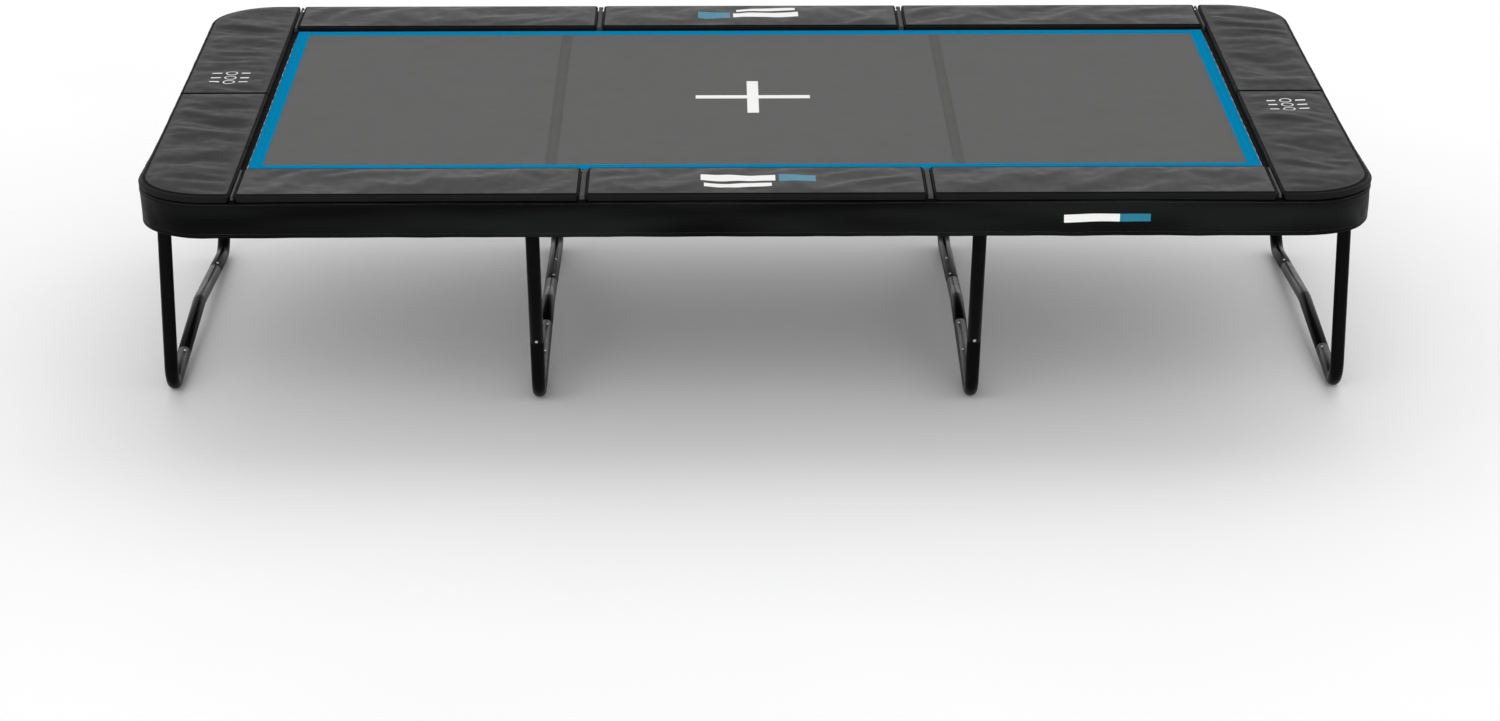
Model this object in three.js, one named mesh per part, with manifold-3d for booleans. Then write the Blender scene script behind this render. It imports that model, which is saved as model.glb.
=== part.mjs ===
// A rectangular garden trampoline, 5.2 m long and 3.1 m wide.
//
// Bent steel tubes meet in sleeves over eight W-shaped leg feet. Four rows of springs
// hold the jump mat inside the frame, ten foam pads cover the springs, and a fabric skirt
// hangs round the outside.
//
// Millimetres. +X runs along the length, +Y from front to rear, +Z up. The origin is on
// the ground, under the centre of the mat.

import * as THREE from 'three';
import { mergeVertices } from 'three/addons/utils/BufferGeometryUtils.js';
import Module from 'manifold-3d';

const wasm = await Module();
wasm.setup();

const FLATNESS = 1e-3;

// ---------------------------------------------------------------- driving dimensions

const OUTER_HALF_X = 2600;      // outline of the pads
const OUTER_HALF_Y = 1550;
const OUTER_CORNER_R = 300;
const PAD_TOP = 1100;
const PAD_THICKNESS = 34;

const TUBE_R = 30;              // every frame and leg tube
const TUBE_WALL = 2;
const TUBE_SIDES = 12;
const FIT_GAP = 0.5;            // between pieces that touch

const RAIL_INSET = 37;          // pad outline to rail centre line
const RAIL_Z = 1031;

const SOCKET_BORE_R = 31.8;     // welded T that joins two rails and a leg
const SOCKET_R = 34;
const SOCKET_SIDES = 16;
const SOCKET_HALF_LENGTH = 80;
const SOCKET_STUB = 93;         // down from the rail's centre line

const CORNER_LEG_Y = 1000;      // legs under the two end rails
const CORNER_FOOT_BEND_R = 117;
const MID_LEG_X = 946;          // legs under the two long rails
const MID_FOOT_Y = 1095;
const MID_FOOT_BEND_R = 150;
const LEG_PEAK_Z = 99;          // centre line at the middle of the W
const LEG_PEAK_BEND_R = 120;
const FOOT_FLAT = 1.3;          // pressed flat where a foot meets the ground
const CORNER_BASE_JOINT_Y = 580;
const MID_BASE_JOINT_Y = 300;
const MID_POST_JOINT_Z = 329;
const SWAGE_R = 26.9;           // reduced tube end that slides into its neighbour
const SWAGE_WALL = 2;
const SHOULDER_R = 28.9;
const CORNER_SWAGE_LENGTH = 130;
const MID_SWAGE_LENGTH = 400;
const POST_SWAGE_LENGTH = 220;

const MAT_HALF_X = 2175;
const MAT_HALF_Y = 1138;
const MAT_CORNER_R = 30;
const MAT_TOP = 1078;
const MAT_THICKNESS = 4;
const TAPE_WIDTH_END = 58;
const TAPE_WIDTH_LONG = 76;
const TAPE_THICKNESS = 1;

const PAD_INNER_HALF_X = 2206;
const PAD_INNER_HALF_Y = 1172;
const PAD_CORNER_R = 12;
const PAD_SEAM_X = 730;         // seams between the three pads of a long side
const PAD_SEAM_GAP = 38;
const PAD_CORNER_GAP = 22;      // from an end pad to its long neighbour
const PAD_END_GAP = 4;          // between the two pads of an end
const STRIP_TOP = 1090;         // webbing that ties two pads together
const SEAM_STRIP_WIDTH = 20;
const CORNER_STRIP_WIDTH = 10;

const FLAP_THICKNESS = 2;
const FLAP_CLEARANCE = 1;       // to the mat's hem

const SKIRT_THICKNESS = 2.5;
const SKIRT_TOP = 1062;
const SKIRT_BOTTOM = 907;

const SPRINGS_LONG = 36;
const SPRINGS_SHORT = 20;
const SPRING_R = 11;
const SPRING_SIDES = 6;
const HOOK_SIDES = 4;
const SPRING_COIL_START = 36;   // from the mat's edge
const SPRING_COIL_END = 322;
const SPRING_HOOK_R = 3;
const SPRING_MAT_Z = 1052;
const SPRING_RAIL_Z = 1043;
const HEM_OFFSET = 4;           // mat edge to the hem that holds the hooks
const HEM_THICKNESS = 4;
const HEM_TOP = 1074;
const HEM_BOTTOM = 1046;
const SPRING_END_MARGIN = 70;   // mat corner to the first spring

const RAIL_X = OUTER_HALF_X - RAIL_INSET;
const RAIL_Y = OUTER_HALF_Y - RAIL_INSET;
const RAIL_BEND_R = OUTER_CORNER_R - RAIL_INSET;
const BEND_STEPS = 7;
const CORNER_SEGMENTS = 5;      // two chords each on a quarter turn
const SMALL_CORNER_SEGMENTS = 1;

// ---------------------------------------------------------------------- materials

const steel = (color, roughness) =>
  new THREE.MeshStandardMaterial({ color, roughness, metalness: 0.3 });
const fabric = (color, roughness) =>
  new THREE.MeshStandardMaterial({ color, roughness, metalness: 0 });

const MATERIALS = {
  tube: steel(0x17181a, 0.38),
  socket: steel(0x1d1e20, 0.45),
  spring: new THREE.MeshStandardMaterial({ color: 0xb9bcc0, roughness: 0.3, metalness: 1 }),
  mat: fabric(0x5f6062, 0.85),
  tape: fabric(0x0f82b4, 0.7),
  pad: fabric(0x4e4f50, 0.55),
  strip: fabric(0x6c6d6f, 0.7),
  skirt: fabric(0x151617, 0.6),
};

const trampoline = new THREE.Group();

function addPiece(name, geometry, material) {
  const mesh = new THREE.Mesh(geometry, MATERIALS[material]);
  mesh.name = name;
  trampoline.add(mesh);
  return mesh;
}

// ------------------------------------------------------------------ solid helpers

function toSolid(geometry) {
  const bare = geometry.clone();
  bare.deleteAttribute('normal');
  bare.deleteAttribute('uv');
  const merged = mergeVertices(bare, 1e-4);
  return new wasm.Manifold(new wasm.Mesh({
    numProp: 3,
    vertProperties: new Float32Array(merged.attributes.position.array),
    triVerts: new Uint32Array(merged.index.array),
  }));
}

// Flat faces that a cut or join left in pieces become whole again.
function toGeometry(solid) {
  const mesh = solid.asOriginal().simplify(FLATNESS).getMesh();
  const geometry = new THREE.BufferGeometry();
  geometry.setAttribute('position', new THREE.BufferAttribute(mesh.vertProperties, 3));
  geometry.setIndex(new THREE.BufferAttribute(mesh.triVerts, 1));
  return geometry;
}

// A cylinder from one point to another.
function rod(from, to, radius, sides) {
  const axis = to.clone().sub(from);
  const geometry = new THREE.CylinderGeometry(radius, radius, axis.length(), sides);
  const turn = new THREE.Quaternion().setFromUnitVectors(
    new THREE.Vector3(0, 1, 0), axis.clone().normalize());
  geometry.applyQuaternion(turn);
  const middle = from.clone().add(to).multiplyScalar(0.5);
  geometry.translate(middle.x, middle.y, middle.z);
  return geometry;
}

// A polyline with rounded corners, as a curve whose stations sit only where it bends.
class BentRoute extends THREE.Curve {
  constructor(corners, radii) {
    super();
    this.points = [];
    this.tangents = [];
    const last = corners.length - 1;
    const direction = (i) => corners[i + 1].clone().sub(corners[i]).normalize();
    this.addStation(corners[0], direction(0));
    for (let i = 1; i < last; i += 1) {
      this.addBend(corners[i], direction(i - 1), direction(i), radii[i - 1]);
    }
    this.addStation(corners[last], direction(last - 1));
  }

  addStation(point, tangent) {
    this.points.push(point.clone());
    this.tangents.push(tangent.clone());
  }

  addBend(corner, before, after, radius) {
    const angle = before.angleTo(after);
    const setback = radius * Math.tan(angle / 2);
    const start = corner.clone().addScaledVector(before, -setback);
    const inward = after.clone().addScaledVector(before, -after.dot(before)).normalize();
    const centre = start.clone().addScaledVector(inward, radius);
    const steps = Math.max(2, Math.round(BEND_STEPS * angle / (Math.PI / 2)));
    for (let k = 0; k <= steps; k += 1) {
      const turn = angle * k / steps;
      const point = centre.clone()
        .addScaledVector(inward, -radius * Math.cos(turn))
        .addScaledVector(before, radius * Math.sin(turn));
      const tangent = before.clone().multiplyScalar(Math.cos(turn))
        .addScaledVector(inward, Math.sin(turn));
      this.addStation(point, tangent);
    }
  }

  get steps() {
    return this.points.length - 1;
  }

  getPoint(t) {
    return this.points[Math.round(t * this.steps)].clone();
  }

  getSpacedPoints() {
    return this.points.map((point) => point.clone());
  }

  getTangentAt(u, target = new THREE.Vector3()) {
    return target.copy(this.tangents[Math.round(u * this.steps)]);
  }
}

// A tube's ring section, with flats at the true radius. Four of them face along the
// section's own axes.
function ringSection(outerR, innerR) {
  const circle = (radius) => Array.from({ length: TUBE_SIDES }, (_, k) => {
    const angle = (k + 0.5) * 2 * Math.PI / TUBE_SIDES;
    const reach = radius / Math.cos(Math.PI / TUBE_SIDES);
    return new THREE.Vector2(reach * Math.cos(angle), reach * Math.sin(angle));
  });
  const section = new THREE.Shape(circle(outerR));
  section.holes.push(new THREE.Path(circle(innerR).reverse()));
  return section;
}

function bentTube(corners, radii = [], outerR = TUBE_R, wall = TUBE_WALL) {
  const route = new BentRoute(corners, radii);
  return new THREE.ExtrudeGeometry(ringSection(outerR, outerR - wall), {
    steps: route.steps,
    extrudePath: route,
  });
}

// A reduced end on a tube that stops at `joint`, reaching `length` further on.
function swagedEnd(joint, direction, length) {
  const root = joint.clone().addScaledVector(direction, -TUBE_WALL - FIT_GAP);
  const tip = joint.clone().addScaledVector(direction, length);
  const neck = toSolid(bentTube([root, tip], [], SWAGE_R, SWAGE_WALL));
  const shoulder = toSolid(bentTube(
    [root, root.clone().addScaledVector(direction, TUBE_WALL)], [],
    SHOULDER_R, SHOULDER_R - SWAGE_R + SWAGE_WALL));
  return neck.add(shoulder);
}

function roundedRectangle(halfX, halfY, radius) {
  const outline = new THREE.Shape();
  const quarter = Math.PI / 2;
  const turn = [[1, 1], [-1, 1], [-1, -1], [1, -1]];
  turn.forEach(([sx, sy], k) => {
    outline.absarc(sx * (halfX - radius), sy * (halfY - radius), radius,
      k * quarter, (k + 1) * quarter);
  });
  return outline;
}

function slab(outline, bottom, thickness, segments = CORNER_SEGMENTS) {
  const geometry = new THREE.ExtrudeGeometry(outline, {
    depth: thickness,
    bevelEnabled: false,
    curveSegments: segments,
  });
  geometry.translate(0, 0, bottom);
  return geometry;
}

const point = (x, y, z) => new THREE.Vector3(x, y, z);
const SIDES_X = [['left', -1], ['right', 1]];
const SIDES_Y = [['front', -1], ['rear', 1]];

// -------------------------------------------------------------------------- rails

function addRails() {
  const half = FIT_GAP;         // each rail stops just short of its socket's middle
  for (const [yName, sy] of SIDES_Y) {
    for (const [xName, sx] of SIDES_X) {
      const corner = bentTube([
        point(sx * RAIL_X, sy * (CORNER_LEG_Y + half), RAIL_Z),
        point(sx * RAIL_X, sy * RAIL_Y, RAIL_Z),
        point(sx * (MID_LEG_X + half), sy * RAIL_Y, RAIL_Z),
      ], [RAIL_BEND_R]);
      addPiece(`corner_rail_${yName}_${xName}`, corner, 'tube');
    }
    const long = bentTube([
      point(-MID_LEG_X + half, sy * RAIL_Y, RAIL_Z),
      point(MID_LEG_X - half, sy * RAIL_Y, RAIL_Z),
    ]);
    addPiece(`long_rail_${yName}`, long, 'tube');
  }
  for (const [xName, sx] of SIDES_X) {
    const end = bentTube([
      point(sx * RAIL_X, -CORNER_LEG_Y + half, RAIL_Z),
      point(sx * RAIL_X, CORNER_LEG_Y - half, RAIL_Z),
    ]);
    addPiece(`end_rail_${xName}`, end, 'tube');
  }
}

// ----------------------------------------------------------------------- legs

// One half of a leg's centre line, from its socket down to the foot and up to the peak,
// in the leg's own plane. `across` is the plane's X.
function legLine(across, side, top, foot, bendR) {
  const peak = point(across, 0, LEG_PEAK_Z);
  const socket = point(across, side * top, RAIL_Z);
  const lowest = TUBE_R - FOOT_FLAT;
  const corner = point(across, side * foot, lowest);
  // Lower the corner until the rounded bend's lowest point is on the ground.
  for (let pass = 0; pass < 12; pass += 1) {
    const down = corner.clone().sub(socket).normalize();
    const along = peak.clone().sub(corner).normalize();
    const setback = bendR * Math.tan(down.angleTo(along) / 2);
    const start = corner.clone().addScaledVector(down, -setback);
    const inward = along.clone().addScaledVector(down, -along.dot(down)).normalize();
    const bottom = start.z + inward.z * bendR - bendR;
    corner.z += lowest - bottom;
  }
  return { socket, corner, peak };
}

// The point on the base, between the foot and the peak, at a distance from the middle.
function onBase(line, distance) {
  const share = (Math.abs(line.corner.y) - distance) / Math.abs(line.corner.y);
  return line.corner.clone().lerp(line.peak, share);
}

// The point on the post at a height.
function onPost(line, height) {
  const share = (line.socket.z - height) / (line.socket.z - line.corner.z);
  return line.socket.clone().lerp(line.corner, share);
}

function belowSocket(line, distance) {
  const down = line.corner.clone().sub(line.socket).normalize();
  return line.socket.clone().addScaledVector(down, distance);
}

// Trims a foot level with the ground.
function standOnGround(solid) {
  const depth = 50;
  const ground = new THREE.BoxGeometry(2 * OUTER_HALF_X + depth, 2 * OUTER_HALF_Y, depth);
  ground.translate(0, 0, -depth / 2);
  return solid.subtract(toSolid(ground));
}

function legBase(lines, jointY, swageLength) {
  const [front, rear] = lines;
  const body = toSolid(bentTube(
    [onBase(front, jointY - FIT_GAP), front.peak, onBase(rear, jointY - FIT_GAP)],
    [LEG_PEAK_BEND_R]));
  return lines.reduce((solid, line) => {
    const outward = line.corner.clone().sub(line.peak).normalize();
    return solid.add(swagedEnd(onBase(line, jointY - FIT_GAP), outward, swageLength));
  }, body);
}

function legSocket(line, railAxis) {
  const reach = railAxis.clone().multiplyScalar(SOCKET_HALF_LENGTH);
  const sleeve = (radius, extra) => toSolid(rod(
    line.socket.clone().addScaledVector(reach, -1 - extra),
    line.socket.clone().addScaledVector(reach, 1 + extra), radius, SOCKET_SIDES));
  const stub = (radius, extra) => toSolid(rod(
    line.socket, belowSocket(line, SOCKET_STUB + extra), radius, SOCKET_SIDES));
  const pastEnd = 0.1;
  return sleeve(SOCKET_R, 0).add(stub(SOCKET_R, 0))
    .subtract(sleeve(SOCKET_BORE_R, pastEnd))
    .subtract(stub(SOCKET_BORE_R, SOCKET_STUB * pastEnd));
}

const POST_TOP = TUBE_R + 4;    // from the rail's centre line to the post's upper end

function addCornerLegs() {
  for (const [xName, sx] of SIDES_X) {
    const lines = SIDES_Y.map(([, sy]) =>
      legLine(sx * RAIL_X, sy, CORNER_LEG_Y, CORNER_LEG_Y, CORNER_FOOT_BEND_R));
    SIDES_Y.forEach(([yName], k) => {
      const line = lines[k];
      const leg = toSolid(bentTube(
        [belowSocket(line, POST_TOP), line.corner, onBase(line, CORNER_BASE_JOINT_Y)],
        [CORNER_FOOT_BEND_R]));
      addPiece(`corner_leg_${yName}_${xName}`, toGeometry(standOnGround(leg)), 'tube');
      const socket = legSocket(line, point(0, 1, 0));
      addPiece(`corner_leg_socket_${yName}_${xName}`, toGeometry(socket), 'socket');
    });
    const base = legBase(lines, CORNER_BASE_JOINT_Y, CORNER_SWAGE_LENGTH);
    addPiece(`corner_leg_base_${xName}`, toGeometry(base), 'tube');
  }
}

function addMidLegs() {
  for (const [xName, sx] of SIDES_X) {
    const lines = SIDES_Y.map(([, sy]) =>
      legLine(sx * MID_LEG_X, sy, RAIL_Y, MID_FOOT_Y, MID_FOOT_BEND_R));
    SIDES_Y.forEach(([yName], k) => {
      const line = lines[k];
      const joint = onPost(line, MID_POST_JOINT_Z);
      const up = line.socket.clone().sub(line.corner).normalize();
      const post = bentTube([belowSocket(line, POST_TOP), joint.clone()]);
      addPiece(`mid_leg_post_${yName}_${xName}`, post, 'tube');

      const below = joint.clone().addScaledVector(up, -FIT_GAP);
      const foot = toSolid(bentTube(
        [below, line.corner, onBase(line, MID_BASE_JOINT_Y)], [MID_FOOT_BEND_R]));
      const elbow = standOnGround(foot.add(swagedEnd(below, up, POST_SWAGE_LENGTH)));
      addPiece(`mid_leg_foot_${yName}_${xName}`, toGeometry(elbow), 'tube');

      const socket = legSocket(line, point(1, 0, 0));
      addPiece(`mid_leg_socket_${yName}_${xName}`, toGeometry(socket), 'socket');
    });
    const base = legBase(lines, MID_BASE_JOINT_Y, MID_SWAGE_LENGTH);
    addPiece(`mid_leg_base_${xName}`, toGeometry(base), 'tube');
  }
}

// ------------------------------------------------------------------- jump mat

function addMat() {
  const outline = roundedRectangle(MAT_HALF_X, MAT_HALF_Y, MAT_CORNER_R);
  const mat = slab(outline, MAT_TOP - MAT_THICKNESS, MAT_THICKNESS, SMALL_CORNER_SEGMENTS);
  addPiece('jump_mat', mat, 'mat');

  const tape = roundedRectangle(MAT_HALF_X, MAT_HALF_Y, MAT_CORNER_R);
  const innerX = MAT_HALF_X - TAPE_WIDTH_END;
  const innerY = MAT_HALF_Y - TAPE_WIDTH_LONG;
  tape.holes.push(new THREE.Path([
    new THREE.Vector2(innerX, innerY),
    new THREE.Vector2(innerX, -innerY),
    new THREE.Vector2(-innerX, -innerY),
    new THREE.Vector2(-innerX, innerY),
  ]));
  const border = slab(tape, MAT_TOP + FIT_GAP, TAPE_THICKNESS, SMALL_CORNER_SEGMENTS);
  addPiece('mat_border_tape', border, 'tape');
}

// -------------------------------------------------------------------- springs

// One side's springs, hooked to the mat's hem. `along` runs beside the mat's edge and
// `outward` from the mat towards the rail.
function springRow(along, outward, halfLength, edge, reach, count) {
  const place = (s, r, z) => along.clone().multiplyScalar(s)
    .addScaledVector(outward, edge + r).setZ(z);
  const hemLength = halfLength - SPRING_END_MARGIN / 2;
  const hem = new THREE.BoxGeometry(
    2 * Math.abs(along.x) * hemLength + Math.abs(outward.x) * HEM_THICKNESS,
    2 * Math.abs(along.y) * hemLength + Math.abs(outward.y) * HEM_THICKNESS,
    HEM_TOP - HEM_BOTTOM);
  const middle = place(0, HEM_OFFSET + HEM_THICKNESS / 2, (HEM_TOP + HEM_BOTTOM) / 2);
  hem.translate(middle.x, middle.y, middle.z);

  const hookStart = HEM_OFFSET + HEM_THICKNESS / 2;
  const hookEnd = reach - SOCKET_R - FIT_GAP;
  const heightAt = (r) =>
    SPRING_MAT_Z + (SPRING_RAIL_Z - SPRING_MAT_Z) * (r - hookStart) / (hookEnd - hookStart);
  const piece = (s, from, to, radius, sides) => toSolid(rod(
    place(s, from, heightAt(from)), place(s, to, heightAt(to)), radius, sides));

  const pieces = [toSolid(hem)];
  const pitch = 2 * (halfLength - SPRING_END_MARGIN) / (count - 1);
  for (let i = 0; i < count; i += 1) {
    const s = -halfLength + SPRING_END_MARGIN + i * pitch;
    pieces.push(piece(s, hookStart, hookEnd, SPRING_HOOK_R, HOOK_SIDES));
    pieces.push(piece(s, SPRING_COIL_START, SPRING_COIL_END, SPRING_R, SPRING_SIDES));
  }
  return pieces.reduce((solid, next) => solid.add(next));
}

function addSprings() {
  for (const [yName, sy] of SIDES_Y) {
    const row = springRow(point(1, 0, 0), point(0, sy, 0),
      MAT_HALF_X, MAT_HALF_Y, RAIL_Y - MAT_HALF_Y, SPRINGS_LONG);
    addPiece(`springs_${yName}`, toGeometry(row), 'spring');
  }
  for (const [xName, sx] of SIDES_X) {
    const row = springRow(point(0, 1, 0), point(sx, 0, 0),
      MAT_HALF_Y, MAT_HALF_X, RAIL_X - MAT_HALF_X, SPRINGS_SHORT);
    addPiece(`springs_${xName}`, toGeometry(row), 'spring');
  }
}

// ----------------------------------------------------------------------- pads

// A rectangle with one corner radius for each corner, starting at +X +Y and going
// anticlockwise.
function padOutline(x0, x1, y0, y1, radii) {
  const outline = new THREE.Shape();
  const quarter = Math.PI / 2;
  const corners = [[x1, y1, -1, -1], [x0, y1, 1, -1], [x0, y0, 1, 1], [x1, y0, -1, 1]];
  corners.forEach(([x, y, inX, inY], k) => {
    const r = radii[k];
    outline.absarc(x + inX * r, y + inY * r, r, k * quarter, (k + 1) * quarter);
  });
  return outline;
}

function addPad(name, x0, x1, y0, y1, radii) {
  const outline = padOutline(x0, x1, y0, y1, radii);
  const segments = radii.includes(OUTER_CORNER_R) ? CORNER_SEGMENTS : SMALL_CORNER_SEGMENTS;
  addPiece(name, slab(outline, PAD_TOP - PAD_THICKNESS, PAD_THICKNESS, segments), 'pad');
}

function addPads() {
  const small = PAD_CORNER_R;
  const large = OUTER_CORNER_R;
  const seam = PAD_END_GAP / 2;
  addPad('end_pad_rear_right', PAD_INNER_HALF_X, OUTER_HALF_X, seam, OUTER_HALF_Y,
    [large, small, small, small]);
  addPad('end_pad_rear_left', -OUTER_HALF_X, -PAD_INNER_HALF_X, seam, OUTER_HALF_Y,
    [small, large, small, small]);
  addPad('end_pad_front_left', -OUTER_HALF_X, -PAD_INNER_HALF_X, -OUTER_HALF_Y, -seam,
    [small, small, large, small]);
  addPad('end_pad_front_right', PAD_INNER_HALF_X, OUTER_HALF_X, -OUTER_HALF_Y, -seam,
    [small, small, small, large]);

  const even = [small, small, small, small];
  const innerEnd = PAD_SEAM_X - PAD_SEAM_GAP / 2;
  const outerStart = PAD_SEAM_X + PAD_SEAM_GAP / 2;
  const outerEnd = PAD_INNER_HALF_X - PAD_CORNER_GAP;
  for (const [yName, sy] of SIDES_Y) {
    const [y0, y1] = [sy * PAD_INNER_HALF_Y, sy * OUTER_HALF_Y].sort((a, b) => a - b);
    addPad(`long_pad_${yName}_left`, -outerEnd, -outerStart, y0, y1, even);
    addPad(`long_pad_${yName}_centre`, -innerEnd, innerEnd, y0, y1, even);
    addPad(`long_pad_${yName}_right`, outerStart, outerEnd, y0, y1, even);
  }
}

// Webbing in the gap between two pads, a little below their tops.
function addPadStrips() {
  const bottom = PAD_TOP - PAD_THICKNESS + FIT_GAP;
  const length = OUTER_HALF_Y - PAD_INNER_HALF_Y;
  const y = (OUTER_HALF_Y + PAD_INNER_HALF_Y) / 2;
  const z = (STRIP_TOP + bottom) / 2;
  const seams = [
    ['seam', PAD_SEAM_X, SEAM_STRIP_WIDTH],
    ['corner', PAD_INNER_HALF_X - PAD_CORNER_GAP / 2, CORNER_STRIP_WIDTH],
  ];
  for (const [yName, sy] of SIDES_Y) {
    for (const [xName, sx] of SIDES_X) {
      for (const [seamName, x, width] of seams) {
        const strip = new THREE.BoxGeometry(width, length, STRIP_TOP - bottom);
        const mesh = addPiece(`pad_strip_${yName}_${xName}_${seamName}`, strip, 'strip');
        mesh.position.set(sx * x, sy * y, z);
      }
    }
  }
}

// A fabric flap sewn along the pads' lower inner edges, which hides the springs' hooks.
function addInnerFlap() {
  const outerX = PAD_INNER_HALF_X - FIT_GAP;
  const outerY = PAD_INNER_HALF_Y - FIT_GAP;
  const flap = roundedRectangle(outerX, outerY, PAD_CORNER_R);
  const beyondMat = HEM_OFFSET + HEM_THICKNESS + FLAP_CLEARANCE;
  const innerX = MAT_HALF_X + beyondMat;
  const innerY = MAT_HALF_Y + beyondMat;
  flap.holes.push(new THREE.Path([
    new THREE.Vector2(innerX, innerY),
    new THREE.Vector2(innerX, -innerY),
    new THREE.Vector2(-innerX, -innerY),
    new THREE.Vector2(-innerX, innerY),
  ]));
  addPiece('pad_inner_flap', slab(flap, PAD_TOP - PAD_THICKNESS, FLAP_THICKNESS,
    SMALL_CORNER_SEGMENTS), 'pad');
}

// ---------------------------------------------------------------------- skirt

function addSkirt() {
  const band = roundedRectangle(OUTER_HALF_X, OUTER_HALF_Y, OUTER_CORNER_R);
  const inner = roundedRectangle(OUTER_HALF_X - SKIRT_THICKNESS,
    OUTER_HALF_Y - SKIRT_THICKNESS, OUTER_CORNER_R - SKIRT_THICKNESS);
  band.holes.push(new THREE.Path(inner.getPoints(CORNER_SEGMENTS).reverse()));
  addPiece('skirt', slab(band, SKIRT_BOTTOM, SKIRT_TOP - SKIRT_BOTTOM), 'skirt');
}

addRails();
addCornerLegs();
addMidLegs();
addMat();
addSprings();
addPads();
addPadStrips();
addInnerFlap();
addSkirt();

export default trampoline;
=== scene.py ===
"""A rectangular garden trampoline: its looks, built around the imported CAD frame.

Metres, in the frame's own axes: +X along the length, +Y to the rear, +Z up. The origin is
on the ground under the centre of the mat.
"""

import math
import random

import bpy
import numpy as np
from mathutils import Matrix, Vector, noise
from mathutils.bvhtree import BVHTree
from mathutils.geometry import delaunay_2d_cdt


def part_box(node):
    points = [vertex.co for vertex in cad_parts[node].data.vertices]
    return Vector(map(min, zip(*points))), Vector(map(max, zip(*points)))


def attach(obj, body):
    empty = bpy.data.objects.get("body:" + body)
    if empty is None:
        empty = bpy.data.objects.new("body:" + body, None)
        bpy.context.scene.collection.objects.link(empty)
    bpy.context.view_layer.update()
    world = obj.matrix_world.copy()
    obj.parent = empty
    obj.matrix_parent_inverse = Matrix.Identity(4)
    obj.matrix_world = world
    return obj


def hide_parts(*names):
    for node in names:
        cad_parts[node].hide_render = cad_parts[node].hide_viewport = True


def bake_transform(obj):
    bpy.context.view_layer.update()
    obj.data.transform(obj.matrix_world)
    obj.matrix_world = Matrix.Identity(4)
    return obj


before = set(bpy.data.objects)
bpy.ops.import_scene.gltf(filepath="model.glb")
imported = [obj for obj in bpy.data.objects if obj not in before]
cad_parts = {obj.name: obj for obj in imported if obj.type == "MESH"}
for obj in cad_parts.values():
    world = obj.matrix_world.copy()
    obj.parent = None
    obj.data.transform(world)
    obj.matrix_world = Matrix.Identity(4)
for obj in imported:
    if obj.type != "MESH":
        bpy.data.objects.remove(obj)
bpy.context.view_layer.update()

# ------------------------------------------------------------------ sizes from the frame

MM = 0.001
SIDES_X = (("left", -1), ("right", 1))
SIDES_Y = (("front", -1), ("rear", 1))

MAT_X, MAT_Y, MAT_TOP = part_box("jump_mat")[1]
OUTER_X, OUTER_Y, SKIRT_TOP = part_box("skirt")[1]
SKIRT_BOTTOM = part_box("skirt")[0].z
PAD_BOTTOM, PAD_TOP = (corner.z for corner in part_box("long_pad_front_centre"))
RAIL_X = sum(corner.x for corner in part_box("end_rail_right")) / 2
RAIL_Y, RAIL_Z = (sum(corner[axis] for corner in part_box("long_rail_rear")) / 2
                  for axis in (1, 2))

# The design's own sizes, which a box can't give.
TUBE_R = 30 * MM
TUBE_WALL = 2 * MM
SWAGE_R = 27 * MM
OUTER_CORNER_R = 300 * MM
RAIL_BEND_R = OUTER_CORNER_R - (OUTER_X - RAIL_X)
SOCKET_R = 34 * MM
SOCKET_HALF_LENGTH = 80 * MM
SOCKET_STUB = 93 * MM
CORNER_LEG_Y = 1.0
CORNER_FOOT_BEND_R = 117 * MM
MID_LEG_X = 946 * MM
MID_FOOT_Y = 1.095
MID_FOOT_BEND_R = 150 * MM
LEG_PEAK_Z = 99 * MM
LEG_PEAK_BEND_R = 120 * MM
FOOT_FLAT = 1.3 * MM
CORNER_BASE_JOINT_Y = 580 * MM
MID_BASE_JOINT_Y = 300 * MM
MID_POST_JOINT_Z = 329 * MM
BASE_BUTTONS = {"corner": (620 * MM,), "mid": (350 * MM, 650 * MM)}    # from the middle
SOCKET_BUTTON = 62 * MM     # from the rail's middle, down the leg
HOLE_Z = 526 * MM
BOLT_Z = 348 * MM
MAT_CORNER_R = 30 * MM
SPRING_COIL = (36 * MM, 322 * MM)       # out from the mat's edge
SPRING_MAT_Z = 1052 * MM
SPRING_RAIL_Z = 1043 * MM
SPRING_END_MARGIN = 70 * MM
SPRING_COUNT = {"front": 36, "rear": 36, "left": 20, "right": 20}

# The fabric bulges past the pads' outline, most at the front corners.
FLARE_ALONG_SIDES = 7 * MM
FLARE_FRONT_CORNERS = 22 * MM
FLARE_REAR_CORNERS = 9 * MM
FLARE_REACH = 0.55          # from a corner to where its flare has halved


# ----------------------------------------------------------------------- mesh helpers

X_AXIS, Y_AXIS, Z_AXIS = np.eye(3)


def link(name, data):
    """A new object in the scene."""
    made = bpy.data.objects.new(name, data)
    bpy.context.scene.collection.objects.link(made)
    return made


def unit(vectors):
    """Vectors, one or one in each row, at length 1."""
    vectors = np.asarray(vectors, float)
    return vectors / np.linalg.norm(vectors, axis=-1, keepdims=True)


def grid_faces(rows, columns, wrap=False, closed=False):
    """Quads between neighbouring rows of points. Wrap joins each row's ends, closed joins
    the last row to the first."""
    row_count = rows if closed else rows - 1
    column_count = columns if wrap else columns - 1
    r, c = np.meshgrid(np.arange(row_count), np.arange(column_count), indexing="ij")
    below, beside = (r + 1) % rows, (c + 1) % columns
    quads = np.stack([r * columns + c, r * columns + beside,
                      below * columns + beside, below * columns + c], axis=-1)
    return quads.reshape(-1, 4)


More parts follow.
